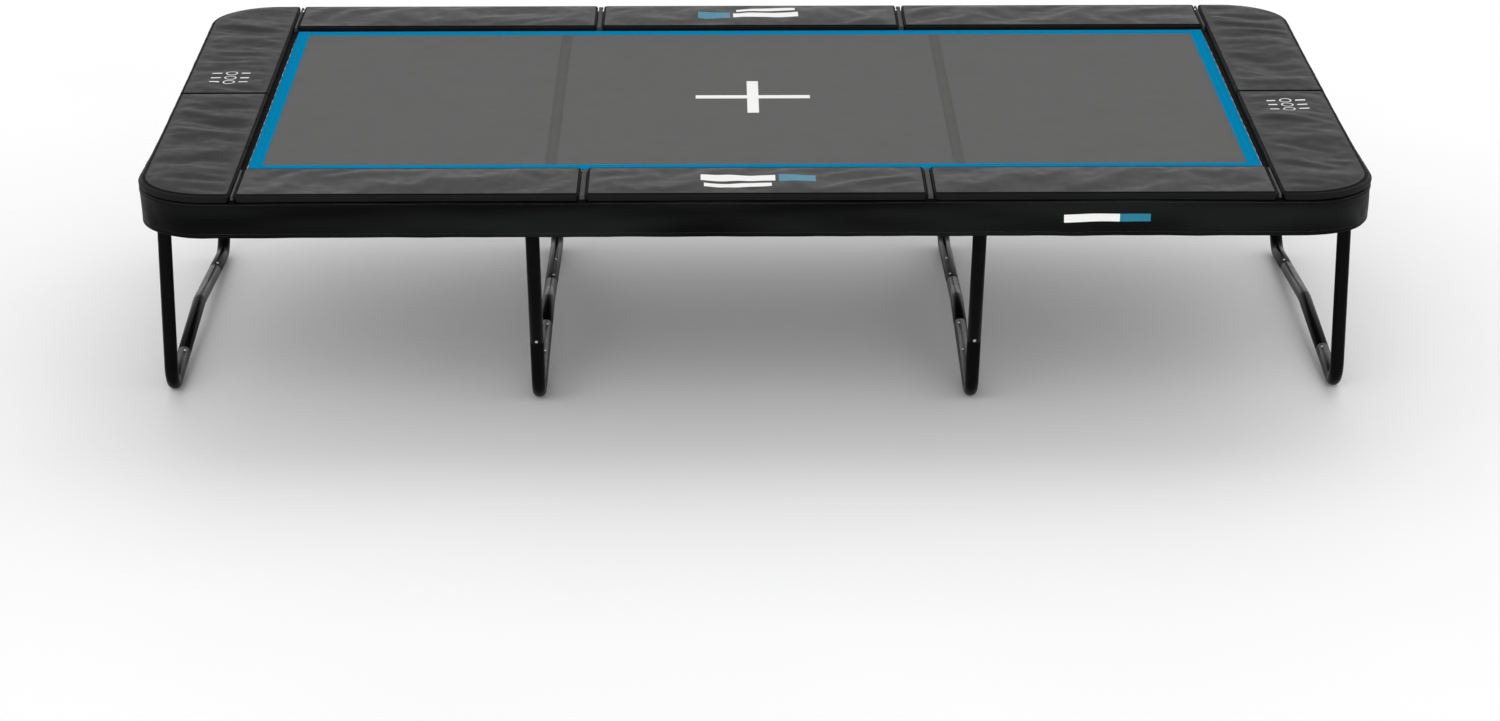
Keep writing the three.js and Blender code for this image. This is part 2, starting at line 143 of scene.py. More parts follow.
class Skin:
    """Vertices and faces gathered from several shapes, made into one piece at the end."""

    def __init__(self):
        self.vertices = []
        self.faces = []
        self.slots = []
        self.corner_uvs = []
        self.count = 0

    def add(self, vertices, faces, slot=0, uvs=None):
        self.vertices.append(np.asarray(vertices, float).reshape(-1, 3))
        for face in faces:
            self.faces.append([int(i) + self.count for i in face])
            self.slots.append(slot)
            if uvs is not None:
                self.corner_uvs.extend(uvs[int(i)] for i in face)
        self.count += len(self.vertices[-1])
        return self

    def piece(self, name, materials, sharp=40):
        """Makes the object. Edges sharper than `sharp` degrees stay sharp."""
        mesh = bpy.data.meshes.new(name)
        mesh.from_pydata(np.concatenate(self.vertices).tolist(), [], self.faces)
        for item in materials:
            mesh.materials.append(item)
        mesh.polygons.foreach_set("material_index", self.slots)
        if self.corner_uvs:
            layer = mesh.uv_layers.new(name="UVMap")
            layer.data.foreach_set("uv", np.array(self.corner_uvs, np.float32).ravel())
        mesh.polygons.foreach_set("use_smooth", [True] * len(mesh.polygons))
        mesh.set_sharp_from_angle(angle=math.radians(sharp))
        mesh.update()
        return link(name, mesh)


def frames_along(path, normal=None, closed=False):
    """Two unit vectors square to the path at each of its points. A flat path takes its
    plane's normal, and any other carries its first pair along without twist."""
    if closed:
        tangents = unit(np.roll(path, -1, axis=0) - np.roll(path, 1, axis=0))
    else:
        tangents = unit(np.gradient(path, axis=0))
    if normal is None:
        first = np.eye(3)[np.argmin(np.abs(tangents[0]))]
        sides = [unit(np.cross(tangents[0], first))]
        for tangent in tangents[1:]:
            sides.append(unit(sides[-1] - tangent * (sides[-1] @ tangent)))
        side = np.array(sides)
    else:
        side = unit(np.cross(tangents, normal))
    return side, unit(np.cross(side, tangents))


def marks_along(path):
    """How far along a path each of its points is."""
    return np.concatenate([[0], np.cumsum(np.linalg.norm(np.diff(path, axis=0), axis=1))])


def path_length(path):
    return float(marks_along(path)[-1])


def at_marks(places, marks, values):
    """Rows of three numbers at places along a path, from those at its marks."""
    return np.stack([np.interp(places, marks, column) for column in values.T], axis=1)


def rings(centres, side, up, radius, sides, phase=0.0):
    """A ring of points round each centre."""
    angle = (np.arange(sides) + phase) * 2 * math.pi / sides
    ring = side[:, None] * np.cos(angle)[:, None] + up[:, None] * np.sin(angle)[:, None]
    return (centres[:, None] + ring * np.reshape(radius, (-1, 1, 1))).reshape(-1, 3)


def capped_faces(rows, sides):
    """Quads between rings, and a face over each end."""
    last = (rows - 1) * sides
    return [*grid_faces(rows, sides, wrap=True), range(sides)[::-1], range(last, last + sides)]


def round_skin(path, stations, normal):
    """A round closed skin along a path. Stations are (distance along it, radius)."""
    distance, radius = np.array(stations, float).T
    centres, side, up = (at_marks(distance, marks_along(path), values)
                         for values in (path, *frames_along(path, normal)))
    vertices = rings(centres, unit(side), unit(up), radius, TUBE_SIDES)
    return vertices, capped_faces(len(stations), TUBE_SIDES)


def wire(path, radius, sides, closed=False, phase=0.5):
    """A thin round wire along a path, with plain ends or closed on itself."""
    vertices = rings(path, *frames_along(path, closed=closed), radius, sides, phase)
    if closed:
        return vertices, grid_faces(len(path), sides, wrap=True, closed=True)
    return vertices, capped_faces(len(path), sides)


def bent_path(corners, radii, step=math.radians(4)):
    """A line through corners, rounded at the inner ones."""
    corners = [np.array(corner, float) for corner in corners]
    points = [corners[0]]
    for before, corner, after, radius in zip(corners, corners[1:], corners[2:], radii):
        incoming, outgoing = unit(corner - before), unit(after - corner)
        angle = math.acos(np.clip(incoming @ outgoing, -1, 1))
        start = corner - incoming * radius * math.tan(angle / 2)
        inward = unit(outgoing - incoming * (outgoing @ incoming))
        centre = start + inward * radius
        count = max(2, math.ceil(angle / step))
        for k in range(count + 1):
            turn = angle * k / count
            points.append(centre - inward * radius * math.cos(turn)
                          + incoming * radius * math.sin(turn))
    points.append(corners[-1])
    return np.array(points)


def outline(x0, x1, y0, y1, radii, step):
    """Points round a rectangle, anticlockwise from +X +Y, with their outward normals and
    their distances from the first. There is one radius for each corner."""
    corners = ((x1, y1, -1, -1), (x0, y1, 1, -1), (x0, y0, 1, 1), (x1, y0, -1, 1))
    points, normals = [], []
    for k, ((x, y, in_x, in_y), radius) in enumerate(zip(corners, radii)):
        count = max(4, math.ceil(radius * math.pi / 2 / step))
        for turn in (k + np.arange(count + 1) / count) * math.pi / 2:
            normal = np.array([math.cos(turn), math.sin(turn)])
            points.append(np.array([x + in_x * radius, y + in_y * radius]) + normal * radius)
            normals.append(normal)
    spaced, facing = [], []
    for k, (point, normal) in enumerate(zip(points, normals)):
        following = points[(k + 1) % len(points)]
        gap = np.linalg.norm(following - point)
        count = max(1, round(gap / step))
        for share in np.arange(count) / count:
            spaced.append(point + (following - point) * share)
            facing.append(unit(normal + (normals[(k + 1) % len(points)] - normal) * share))
    spaced = np.array(spaced)
    return spaced, np.array(facing), marks_along(np.vstack([spaced, spaced[:1]]))


def distance_to(border, points):
    """How far each point is from the nearest point of a border."""
    return np.array([np.sqrt(np.min(np.sum((border - p) ** 2, axis=1))) for p in points])


def fill_outline(border, spacing, seed):
    """Triangles that fill a border, with scattered points inside it. Gives the points,
    border first, and the triangles."""
    rng = random.Random(seed)
    low, high = border.min(axis=0), border.max(axis=0)
    rows, columns = int((high[1] - low[1]) / (spacing * 0.87)), int((high[0] - low[0]) / spacing)
    inside = []
    for row in range(1, rows):
        for column in range(1, columns + 1):
            share = np.array([column - 0.5 * (row % 2), row])
            jitter = [rng.uniform(-0.2, 0.2) * spacing for _ in range(2)]
            inside.append(low + (high - low) * share / (columns, rows) + jitter)
    inside = np.array(inside)
    keep = distance_to(border, inside) > 0.6 * spacing
    (from_x, from_y), (to_x, to_y) = border.T, np.roll(border, -1, axis=0).T
    x, y = inside.T[:, :, None]
    crossing = (from_y > y) != (to_y > y)
    with np.errstate(divide="ignore", invalid="ignore"):
        at = from_x + (y - from_y) / (to_y - from_y) * (to_x - from_x)
    within = np.sum(crossing & (at > x), axis=1) % 2 == 1
    points = np.concatenate([border, inside[keep & within]])
    edges = [(k, (k + 1) % len(border)) for k in range(len(border))]
    made = delaunay_2d_cdt([Vector(p) for p in points], edges, [], 1, 1e-7)
    if len(made[0]) != len(points):
        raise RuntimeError("the outline's points merged, so it is drawn too finely")
    return points, made[2]


def noise_at(*axes):
    """Smooth noise, about -1 to 1, at points whose three axes are rows or single numbers."""
    points = np.stack(np.broadcast_arrays(*axes), axis=1)
    return np.array([noise.noise(Vector(p)) for p in points])


def outer_edge(points):
    """How far points are inside the trampoline's outer edge, seen from above, and the way
    out to it."""
    past = np.abs(points) - (np.array([OUTER_X, OUTER_Y]) - OUTER_CORNER_R)
    rounded = np.maximum(past, 0)
    inside = OUTER_CORNER_R - np.hypot(*rounded.T) - np.minimum(past.max(axis=1), 0)
    straight = past >= past.max(axis=1, keepdims=True)
    way = np.where(rounded.sum(axis=1, keepdims=True) > 0, rounded, straight)
    return inside, unit(way) * np.sign(points)


def flare(points):
    """How far the fabric bulges past the outer edge near points of the plan."""
    away = np.hypot(OUTER_X - np.abs(points[:, 0]), OUTER_Y - np.abs(points[:, 1]))
    corner = np.where(points[:, 1] < 0, FLARE_FRONT_CORNERS, FLARE_REAR_CORNERS)
    near = 1 / (1 + (away / FLARE_REACH) ** 4)
    return FLARE_ALONG_SIDES + (corner - FLARE_ALONG_SIDES) * near


def streaks(x, y, angle, length, width, seed):
    """Long soft wrinkles along a direction, about -1 to 1, with narrower creases in them."""
    along = x * math.cos(angle) + y * math.sin(angle)
    across = y * math.cos(angle) - x * math.sin(angle)
    across = across + noise_at(x / length, y / length, seed + 7) * width * 0.9
    along, across = along / length, across / width
    broad = noise_at(along, across, seed)
    fine = noise_at(along * 1.6, across * 2.2, seed + 3)
    where = noise_at(along, across / 2, seed + 11)
    return broad * 1.5 + fine * (0.75 + 0.9 * where)


# ------------------------------------------------------------------------- materials

class Paint:
    """A Principled material whose nodes are added one call at a time."""

    def __init__(self, name, **sockets):
        self.material = bpy.data.materials.new(name)
        self.material.use_nodes = True
        self.tree = self.material.node_tree
        self.shader = self.tree.nodes["Principled BSDF"]
        for socket, value in sockets.items():
            self.shader.inputs[socket.replace("_", " ")].default_value = value
        self.place = self.tree.nodes.new("ShaderNodeTexCoord").outputs["Object"]

    def node(self, kind, inputs, **settings):
        made = self.tree.nodes.new("ShaderNode" + kind)
        for name, value in settings.items():
            setattr(made, name, value)
        for name, value in inputs.items():
            if isinstance(value, bpy.types.NodeSocket):
                self.tree.links.new(value, made.inputs[name])
            else:
                made.inputs[name].default_value = value
        return made.outputs[0]

    def use_uv(self):
        self.place = self.tree.nodes.new("ShaderNodeUVMap").outputs["UV"]

    def noise(self, size, detail=3.0):
        return self.node("TexNoise", {"Vector": self.place, "Scale": 1 / size,
                                      "Detail": detail})

    def weave(self, pitch, across=None):
        """Height of a plain weave whose threads are `pitch` apart."""
        across = across or pitch
        spaced = self.node("Mapping", {"Vector": self.place,
                                       "Scale": (1 / pitch, 1 / across, 1 / pitch)})
        self.node("TexChecker", {"Vector": spaced, "Scale": 1.0})
        over = self.tree.nodes[-1].outputs["Fac"]
        threads = [self.node("TexWave", {"Vector": spaced, "Scale": math.pi / 10},
                             bands_direction=axis) for axis in ("X", "Y")]
        return self.node("Mix", {"Factor": over, "A": threads[0], "B": threads[1]})

    def colour(self, first, second, factor, low=0.3, high=0.7):
        """Base colour between two, as a factor goes from low to high."""
        share = self.node("MapRange", {"Value": factor, "From Min": low, "From Max": high})
        mixed = self.node("MixRGB", {"Fac": share, "Color1": (*first, 1),
                                     "Color2": (*second, 1)})
        self.tree.links.new(mixed, self.shader.inputs["Base Color"])

    def roughness(self, factor, low, high):
        spread = self.node("MapRange", {"Value": factor, "From Min": 0.3, "From Max": 0.7,
                                        "To Min": low, "To Max": high})
        self.tree.links.new(spread, self.shader.inputs["Roughness"])

    def bump(self, height, distance, strength=1.0):
        """Adds a bump on top of those already there."""
        inputs = {"Height": height, "Distance": distance, "Strength": strength}
        socket = self.shader.inputs["Normal"]
        if socket.links:
            inputs["Normal"] = socket.links[0].from_socket
        self.tree.links.new(self.node("Bump", inputs), socket)


def shades(colour, spread):
    """A colour made a little darker and a little lighter."""
    return [[min(1, c * (1 + sign * spread)) for c in colour] for sign in (-1, 1)]


# Painted shade and highlight for the skirt: the turn and size of diagonal bands of darker and
# lighter colour, in place of the light on its folds.
PAINTED_FOLD_SHADE_TURN = math.radians(-38)
PAINTED_FOLD_SHADE_SCALE = (1.1, 8.0, 1.0)     # bands in a metre, along a band and across it


def coated_fabric(name, colour, roughness, specular, folds=False):
    """PVC on a woven scrim: the threads show faintly through a smooth skin. With folds, its colour
    carries painted shade and highlight in soft diagonal bands, laid out by its UV map, in place
    of the light on hanging folds."""
    paint = Paint(name, Specular_IOR_Level=specular)
    if folds:
        paint.use_uv()
        place = paint.place
        paint.place = paint.node("Mapping", {"Vector": place, "Rotation": (0, 0, PAINTED_FOLD_SHADE_TURN),
                                             "Scale": PAINTED_FOLD_SHADE_SCALE})
        # Painted shade and highlight: the colour swings far darker and lighter along the bands.
        paint.colour(*shades(colour, 0.65), paint.noise(1.0, 1), 0.36, 0.66)
        paint.place = place
    else:
        paint.colour(*shades(colour, 0.07), paint.noise(0.16, 5))
    paint.roughness(paint.noise(0.05, 6), roughness - 0.05, roughness + 0.07)
    paint.bump(paint.weave(1.4 * MM), 0.05 * MM, 0.6)
    paint.bump(paint.noise(0.9 * MM, 2), 0.05 * MM, 0.5)
    return paint.material


def webbing(name, colour, rib, specular=0.2, uv=False):
    """A narrow strap with close ribs across it."""
    paint = Paint(name, Roughness=0.65, Specular_IOR_Level=specular)
    if uv:
        paint.use_uv()
    paint.colour(*shades(colour, 0.06), paint.noise(0.03, 4))
    paint.bump(paint.weave(rib, rib * 1.6), 0.25 * MM, 0.8)
    return paint.material


def mesh_weave(name, colour):
    """The jump mat's woven polypropylene."""
    paint = Paint(name, Specular_IOR_Level=0.1)
    height = paint.weave(1.6 * MM)
    tone = paint.node("Math", {0: paint.noise(0.35, 6), 1: paint.noise(4 * MM, 2)},
                      operation="ADD")
    tone = paint.node("Math", {0: tone, 1: 0.5}, operation="MULTIPLY")
    paint.colour(*shades(colour, 0.02), tone)
    paint.roughness(paint.noise(0.08, 4), 0.66, 0.72)
    paint.bump(height, 0.35 * MM, 0.7)
    return paint.material


def powder_coat(name, colour, roughness, specular):
    paint = Paint(name, Specular_IOR_Level=specular)
    paint.colour(*shades(colour, 0.12), paint.noise(0.07, 4))
    paint.roughness(paint.noise(0.02, 5), roughness - 0.04, roughness + 0.06)
    paint.bump(paint.noise(1.6 * MM, 2), 0.06 * MM, 0.5)
    return paint.material


def bare_metal(name, colour, roughness):
    paint = Paint(name, Metallic=1.0)
    paint.colour(*shades(colour, 0.12), paint.noise(0.02, 5))
    paint.roughness(paint.noise(0.008, 4), roughness - 0.06, roughness + 0.1)
    paint.bump(paint.noise(0.7 * MM, 3), 0.03 * MM, 0.4)
    return paint.material


def printed_ink(name, colour):
    paint = Paint(name, Specular_IOR_Level=0.3)
    paint.colour(*shades(colour, 0.04), paint.noise(5 * MM, 4))
    paint.roughness(paint.noise(9 * MM, 4), 0.45, 0.6)
    paint.bump(paint.weave(1.6 * MM), 0.08 * MM, 0.5)
    return paint.material


def thread(name, colour):
    paint = Paint(name, Roughness=0.6, Sheen_Weight=0.3, Specular_IOR_Level=0.3)
    paint.colour(*shades(colour, 0.1), paint.noise(3 * MM, 2))
    paint.bump(paint.noise(0.5 * MM, 2), 0.1 * MM, 0.6)
    return paint.material


TUBE = powder_coat("black_powder_coat", (0.0032, 0.0033, 0.0034), 0.22, 0.025)
WELD = powder_coat("welded_black_steel", (0.005, 0.0052, 0.0054), 0.45, 0.08)
# Painted shade: a hole, and the gap round a button, are shallow discs and rings darker than the
# tube, for the dark inside them.
PAINTED_HOLE_SHADE = powder_coat("painted_hole_shade", (0.0015, 0.0015, 0.0016), 0.8, 0.1)
ZINC = bare_metal("zinc_plate", (0.66, 0.67, 0.69), 0.3)
PAD_GREY = coated_fabric("grey_vinyl", (0.036, 0.036, 0.037), 0.42, 0.043)
END_PAD_GREY = coated_fabric("end_grey_vinyl", (0.0235, 0.0235, 0.0242), 0.42, 0.033)
PIPING = coated_fabric("black_piping", (0.002, 0.002, 0.002), 0.6, 0.02)
PAD_BLACK = coated_fabric("black_vinyl", (0.006, 0.0059, 0.0058), 0.6, 0.08)
# The skirt's colour carries painted fold shade and highlight in diagonal bands.
SKIRT_BLACK = coated_fabric("black_skirt_fabric", (0.0054, 0.0057, 0.0057), 0.42, 0.03,
                            folds=True)
MAT = mesh_weave("grey_jump_weave", (0.095, 0.094, 0.093))
MAT_DARK = mesh_weave("double_jump_weave", (0.077, 0.076, 0.075))
BLUE = webbing("blue_webbing", (0.0008, 0.205, 0.4), 2.2 * MM, specular=0.0)
BLACK_WEBBING = webbing("black_webbing", (0.012, 0.012, 0.012), 2.2 * MM)
GREY_WEBBING = webbing("grey_webbing", (0.052, 0.052, 0.054), 1.8 * MM, specular=0.08, uv=True)
WHITE_INK = printed_ink("white_ink", (0.8, 0.8, 0.79))
BLUE_INK = printed_ink("blue_ink", (0.006, 0.17, 0.26))
BLACK_THREAD = thread("black_thread", (0.02, 0.02, 0.02))
# Grey thread. On the skirt's top seam it is also a painted highlight, the light line along the
# seam.
GREY_THREAD_AND_SEAM_HIGHLIGHT = thread("grey_thread_and_seam_highlight", (0.07, 0.07, 0.07))
BLUE_THREAD = thread("blue_thread", (0.004, 0.13, 0.3))


def belong(piece, slot, *nodes, body="root"):
    """The piece rides on a body and stands for CAD nodes. Its slot is not used."""
    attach(piece, body)
    if nodes:
        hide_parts(*nodes)
    return piece


# ------------------------------------------------------------------------------ tubes

TUBE_SIDES = 40
RIM = 1.2 * MM          # rounding of a cut end
RAIL_GAP = 0.5 * MM     # from a leg's middle to the rail's end in its socket
LEG_TOP = TUBE_R + 4 * MM       # from a rail's middle to the top of a leg
SOCKET_WALL = 2.2 * MM
WELD_R = 2.6 * MM
WELD_STEPS = 120
BORE_DEPTH = 45 * MM    # how far the hollow inside an end is modelled


def open_end(radius, wall=TUBE_WALL):
    """Stations from the bore of a cut end to the outside."""
    bore = radius - wall
    return [(BORE_DEPTH, bore), (RIM / 2, bore), (0, bore + RIM / 3), (0, radius - RIM),
            (RIM / 3, radius - RIM / 3), (RIM, radius)]


def reduced_end():
    """Stations from the tip of a reduced end, which sits inside the next tube, to the
    full tube. The tip is `BORE_DEPTH` long."""
    shoulder = 3 * MM
    return [(0, SWAGE_R - RIM), (RIM, SWAGE_R), (BORE_DEPTH - shoulder, SWAGE_R),
            (BORE_DEPTH - shoulder / 3, TUBE_R - RIM), (BORE_DEPTH + RIM, TUBE_R)]


def far_end(stations, path):
    """An end's stations, put at the far end of a path."""
    return [(path_length(path) - distance, radius) for distance, radius in reversed(stations)]


def tube_skin(path, normal, start=None, end=None, radius=TUBE_R):
    """A tube along a path, with a cut or reduced end at each side."""
    start, end = start or open_end(radius), end or open_end(radius)
    marks, clear = marks_along(path), BORE_DEPTH + 2 * RIM
    middle = [(mark, radius) for mark in marks[1:-1] if clear < mark < marks[-1] - clear]
    return round_skin(path, start + middle + far_end(end, path), normal)


def add_tube(node, path, normal, *ends):
    """A CAD node's tube. Where it meets the ground it is pressed flat."""
    vertices, faces = tube_skin(np.array(path), normal, *ends)
    vertices[:, 2] = np.maximum(vertices[:, 2], 0)
    belong(Skin().add(vertices, faces).piece(node + "_tube", [TUBE]), "tube", node)


def leg_line(across, side, top, foot, bend_r):
    """One half of a leg's centre line: its socket, foot corner and peak."""
    peak = np.array([across, 0, LEG_PEAK_Z])
    socket = np.array([across, side * top, RAIL_Z])
    lowest = TUBE_R - FOOT_FLAT
    corner = np.array([across, side * foot, lowest])
    for _ in range(12):     # until the rounded bend's lowest point is on the ground
        down, along = unit(corner - socket), unit(peak - corner)
        angle = math.acos(down @ along)
        start = corner - down * bend_r * math.tan(angle / 2)
        inward = unit(along - down * (along @ down))
        corner[2] += lowest - (start[2] + inward[2] * bend_r - bend_r)
    return socket, corner, peak


def corner_line(sx, sy):
    return leg_line(sx * RAIL_X, sy, CORNER_LEG_Y, CORNER_LEG_Y, CORNER_FOOT_BEND_R)


def mid_line(sx, sy):
    return leg_line(sx * MID_LEG_X, sy, RAIL_Y, MID_FOOT_Y, MID_FOOT_BEND_R)


def on_base(line, distance):
    _, corner, peak = line
    return corner + (peak - corner) * (abs(corner[1]) - distance) / abs(corner[1])


def on_post(line, height):
    socket, corner, _ = line
    return socket + (corner - socket) * (socket[2] - height) / (socket[2] - corner[2])


def below_socket(line, distance):
    return line[0] + unit(line[1] - line[0]) * distance


def add_rails():
    for y_name, sy in SIDES_Y:
        for x_name, sx in SIDES_X:
            path = bent_path([(sx * RAIL_X, sy * (CORNER_LEG_Y + RAIL_GAP), RAIL_Z),
                              (sx * RAIL_X, sy * RAIL_Y, RAIL_Z),
                              (sx * (MID_LEG_X + RAIL_GAP), sy * RAIL_Y, RAIL_Z)],
                             [RAIL_BEND_R])
            add_tube(f"corner_rail_{y_name}_{x_name}", path, Z_AXIS)
        ends = [(side * (MID_LEG_X - RAIL_GAP), sy * RAIL_Y, RAIL_Z) for side in (-1, 1)]
        add_tube(f"long_rail_{y_name}", ends, Z_AXIS)
    for x_name, sx in SIDES_X:
        ends = [(sx * RAIL_X, side * (CORNER_LEG_Y - RAIL_GAP), RAIL_Z) for side in (-1, 1)]
        add_tube(f"end_rail_{x_name}", ends, Z_AXIS)


def weld_bead(line, rail_axis):
    """The bumpy bead where a socket's stub meets its sleeve."""
    down = unit(line[1] - line[0])
    other = unit(np.cross(down, rail_axis))
    path, sizes = [], []
    for turn in 2 * math.pi * np.arange(WELD_STEPS) / WELD_STEPS:
        around = rail_axis * math.cos(turn) + other * math.sin(turn)
        drop = SOCKET_R * abs(math.cos(turn)) + 1.2 * MM
        path.append(line[0] + around * (SOCKET_R + 0.6 * MM) + down * drop)
        sizes.append(1 + 0.14 * math.sin(turn * 34))
    return wire(np.array(path), WELD_R * np.array(sizes), 8, closed=True, phase=0)


def add_socket(name, line, rail_axis):
    """A short sleeve round the rails' ends, with a stub for the leg welded under it."""
    reach = rail_axis * SOCKET_HALF_LENGTH
    end = open_end(SOCKET_R, SOCKET_WALL)
    sleeve = np.array([line[0] - reach, line[0] + reach])
    across = unit(np.cross(rail_axis, line[1] - line[0]))
    skin = Skin().add(*tube_skin(sleeve, across, end, end, SOCKET_R))
    stub = np.array([below_socket(line, SOCKET_R * 0.6), below_socket(line, SOCKET_STUB)])
    stations = [(0, SOCKET_R - SOCKET_WALL), (RIM, SOCKET_R)] + far_end(end, stub)
    skin.add(*round_skin(stub, stations, rail_axis))
    skin.add(*weld_bead(line, rail_axis), slot=1)
    belong(skin.piece(name + "_weldment", [TUBE, WELD]), "socket", name)


# Turned details on a tube: (radius from the detail's centre, height over the tube).
BUTTON = [(0, 4.4), (2.2, 4.1), (4.2, 3.0), (5.3, 1.2), (5.6, -0.8)]
# The hole profiles sit on the tube's surface; their dark colour is painted shade, not a real
# opening.
BUTTON_HOLE = [(5.6, -0.7), (5.9, -0.5), (6.7, 0.25), (7.3, 0.3), (7.7, 0.05), (7.9, -0.3)]
EMPTY_HOLE = [(0, 0.12), (4.2, 0.12), (4.6, 0.3), (5.4, 0.3), (5.9, 0.05), (6.1, -0.3)]
BOLT_END = [(0, 5.2), (1.4, 5.0), (2.6, 4.2), (3.1, 3.0), (3.2, 2.0), (3.4, 1.9), (6.4, 1.8),
            (6.9, 1.2), (7.0, -0.6)]
DETAIL_SIDES = 20
# Each detail's profiles, and which of zinc and painted hole shade they are.
DETAILS = {"button": [(BUTTON, 0), (BUTTON_HOLE, 1)], "hole": [(EMPTY_HOLE, 1)],
           "bolt": [(BOLT_END, 0)]}


def turned_detail(profile, centre, axis, facing, tube_r):
    """A turned profile wrapped on a tube's side. Centre is on the tube's axis."""
    axis = unit(axis)
    facing = unit(facing - axis * (facing @ axis))
    around = np.cross(axis, facing)
    vertices = []
    for radius, height in np.array(profile) * MM:
        for k in range(DETAIL_SIDES):
            turn = 2 * math.pi * k / DETAIL_SIDES
            wrap = radius * math.sin(turn) / tube_r
            out = facing * math.cos(wrap) + around * math.sin(wrap)
            vertices.append(centre + axis * radius * math.cos(turn) + out * (tube_r + height))
    return np.array(vertices), grid_faces(len(profile), DETAIL_SIDES, wrap=True)[:, ::-1]


def add_leg_details():
    """The legs' spring buttons, empty holes and bolts."""
    for x_name, sx in SIDES_X:
        for y_name, sy in SIDES_Y:
            up_and_in, outward = np.array([-0.35 * sx, 0, 1.0]), Y_AXIS * sy
            post = [("hole", on_post, HOLE_Z, outward), ("bolt", on_post, BOLT_Z, outward),
                    ("bolt", on_post, BOLT_Z, -outward)]
            for kind, line, on_legs, inward in (
                    ("corner", corner_line(sx, sy), [], X_AXIS * -sx),
                    ("mid", mid_line(sx, sy), post, -outward)):
                skin = Skin()
                base = [("button", on_base, place, up_and_in) for place in BASE_BUTTONS[kind]]
                socket = ("button", below_socket, SOCKET_BUTTON, inward)
                for detail, place, distance, facing in [*base, *on_legs, socket]:
                    axis = line[2] - line[1] if place is on_base else line[1] - line[0]
                    radius = SOCKET_R if place is below_socket else TUBE_R
                    for profile, slot in DETAILS[detail]:
                        skin.add(*turned_detail(profile, place(line, distance), axis, facing,
                                                radius), slot)
                name = f"{kind}_leg_{y_name}_{x_name}_pins"
                belong(skin.piece(name, [ZINC, PAINTED_HOLE_SHADE]), "spring")


def add_corner_legs():
    for x_name, sx in SIDES_X:
        lines = [corner_line(sx, sy) for _, sy in SIDES_Y]
        for (y_name, _), line in zip(SIDES_Y, lines):
            path = bent_path([below_socket(line, LEG_TOP), line[1],
                              on_base(line, CORNER_BASE_JOINT_Y)], [CORNER_FOOT_BEND_R])
            add_tube(f"corner_leg_{y_name}_{x_name}", path, X_AXIS)
            add_socket(f"corner_leg_socket_{y_name}_{x_name}", line, Y_AXIS)
        add_base(f"corner_leg_base_{x_name}", lines, CORNER_BASE_JOINT_Y)


def add_base(node, lines, joint_y):
    """The middle of a W: a tube bent at its peak, with a reduced end at each side."""
    ends = [on_base(line, joint_y) + unit(line[1] - line[2]) * BORE_DEPTH for line in lines]
    path = bent_path([ends[0], lines[0][2], ends[1]], [LEG_PEAK_BEND_R])
    add_tube(node, path, X_AXIS, reduced_end(), reduced_end())


def add_mid_legs():
    for x_name, sx in SIDES_X:
        lines = [mid_line(sx, sy) for _, sy in SIDES_Y]
        for (y_name, _), line in zip(SIDES_Y, lines):
            joint = on_post(line, MID_POST_JOINT_Z)
            add_tube(f"mid_leg_post_{y_name}_{x_name}", [below_socket(line, LEG_TOP), joint],
                     X_AXIS)
            path = bent_path([joint + unit(line[0] - line[1]) * BORE_DEPTH, line[1],
                              on_base(line, MID_BASE_JOINT_Y)], [MID_FOOT_BEND_R])
            add_tube(f"mid_leg_foot_{y_name}_{x_name}", path, X_AXIS, reduced_end())
            add_socket(f"mid_leg_socket_{y_name}_{x_name}", line, X_AXIS)
        add_base(f"mid_leg_base_{x_name}", lines, MID_BASE_JOINT_Y)


# ---------------------------------------------------------------------------- springs

WIRE_R = 1.7 * MM
COIL_R = 11 * MM - WIRE_R
COIL_TURNS = 48
COIL_STEPS = 7          # points on one turn
RING_APEX = 18 * MM     # from the mat's edge to where a ring holds its spring
HOOK_R = 5 * MM


def spring_axis_z(out, reach):
    share = (out - RING_APEX) / (reach - TUBE_R - RING_APEX)
    return SPRING_MAT_Z + (SPRING_RAIL_Z - SPRING_MAT_Z) * share


def spring_wire(reach):
    """One spring's wire as rows of (out from the mat's edge, across, up)."""
    points = []
    for degrees in range(-110, -301, -24):      # round the ring's apex
        turn = math.radians(degrees)
        points.append((RING_APEX + HOOK_R * math.cos(turn), 0, HOOK_R * math.sin(turn)))
    points.append((RING_APEX + 9 * MM, 0, HOOK_R * 0.5))
    start, end = SPRING_COIL
    count = COIL_TURNS * COIL_STEPS
    ease = 1.5 * COIL_STEPS
    for k in range(count + 1):
        grow = min(1, k / ease, (count - k) / ease)
        radius = COIL_R * math.sin(grow * math.pi / 2)
        turn = 2 * math.pi * k / COIL_STEPS
        points.append((start + (end - start) * k / count,
                       radius * math.sin(turn), radius * math.cos(turn)))
    into_rail = reach - TUBE_R + 4 * MM
    points.append((into_rail - 12 * MM, 0, 0))
    points.append((into_rail, 0, 0))
    points = np.array(points)
    points[:, 2] += spring_axis_z(points[:, 0], reach)
    return points


# Each side of the mat: the ways along it and out from it, its half length, and how far out
# its edge and its rail are.
ROWS = {name: (X_AXIS, Y_AXIS * side, MAT_X, MAT_Y, RAIL_Y) for name, side in SIDES_Y}
ROWS |= {name: (Y_AXIS, X_AXIS * side, MAT_Y, MAT_X, RAIL_X) for name, side in SIDES_X}


def add_row(skin, name, shape, faces):
    """Copies of a shape, one for each spring on a side of the mat. The shape is given as
    (out from the mat's edge, along it, up)."""
    along, outward, half, edge, _ = ROWS[name]
    turned = shape[:, :1] * outward + shape[:, 1:2] * along
    turned[:, 2] = shape[:, 2]
    if np.cross(outward, along)[2] < 0:
        faces = [face[::-1] for face in faces]
    reach = half - SPRING_END_MARGIN
    for place in np.linspace(-reach, reach, SPRING_COUNT[name]):
        skin.add(turned + along * place + outward * edge, faces)
    return skin


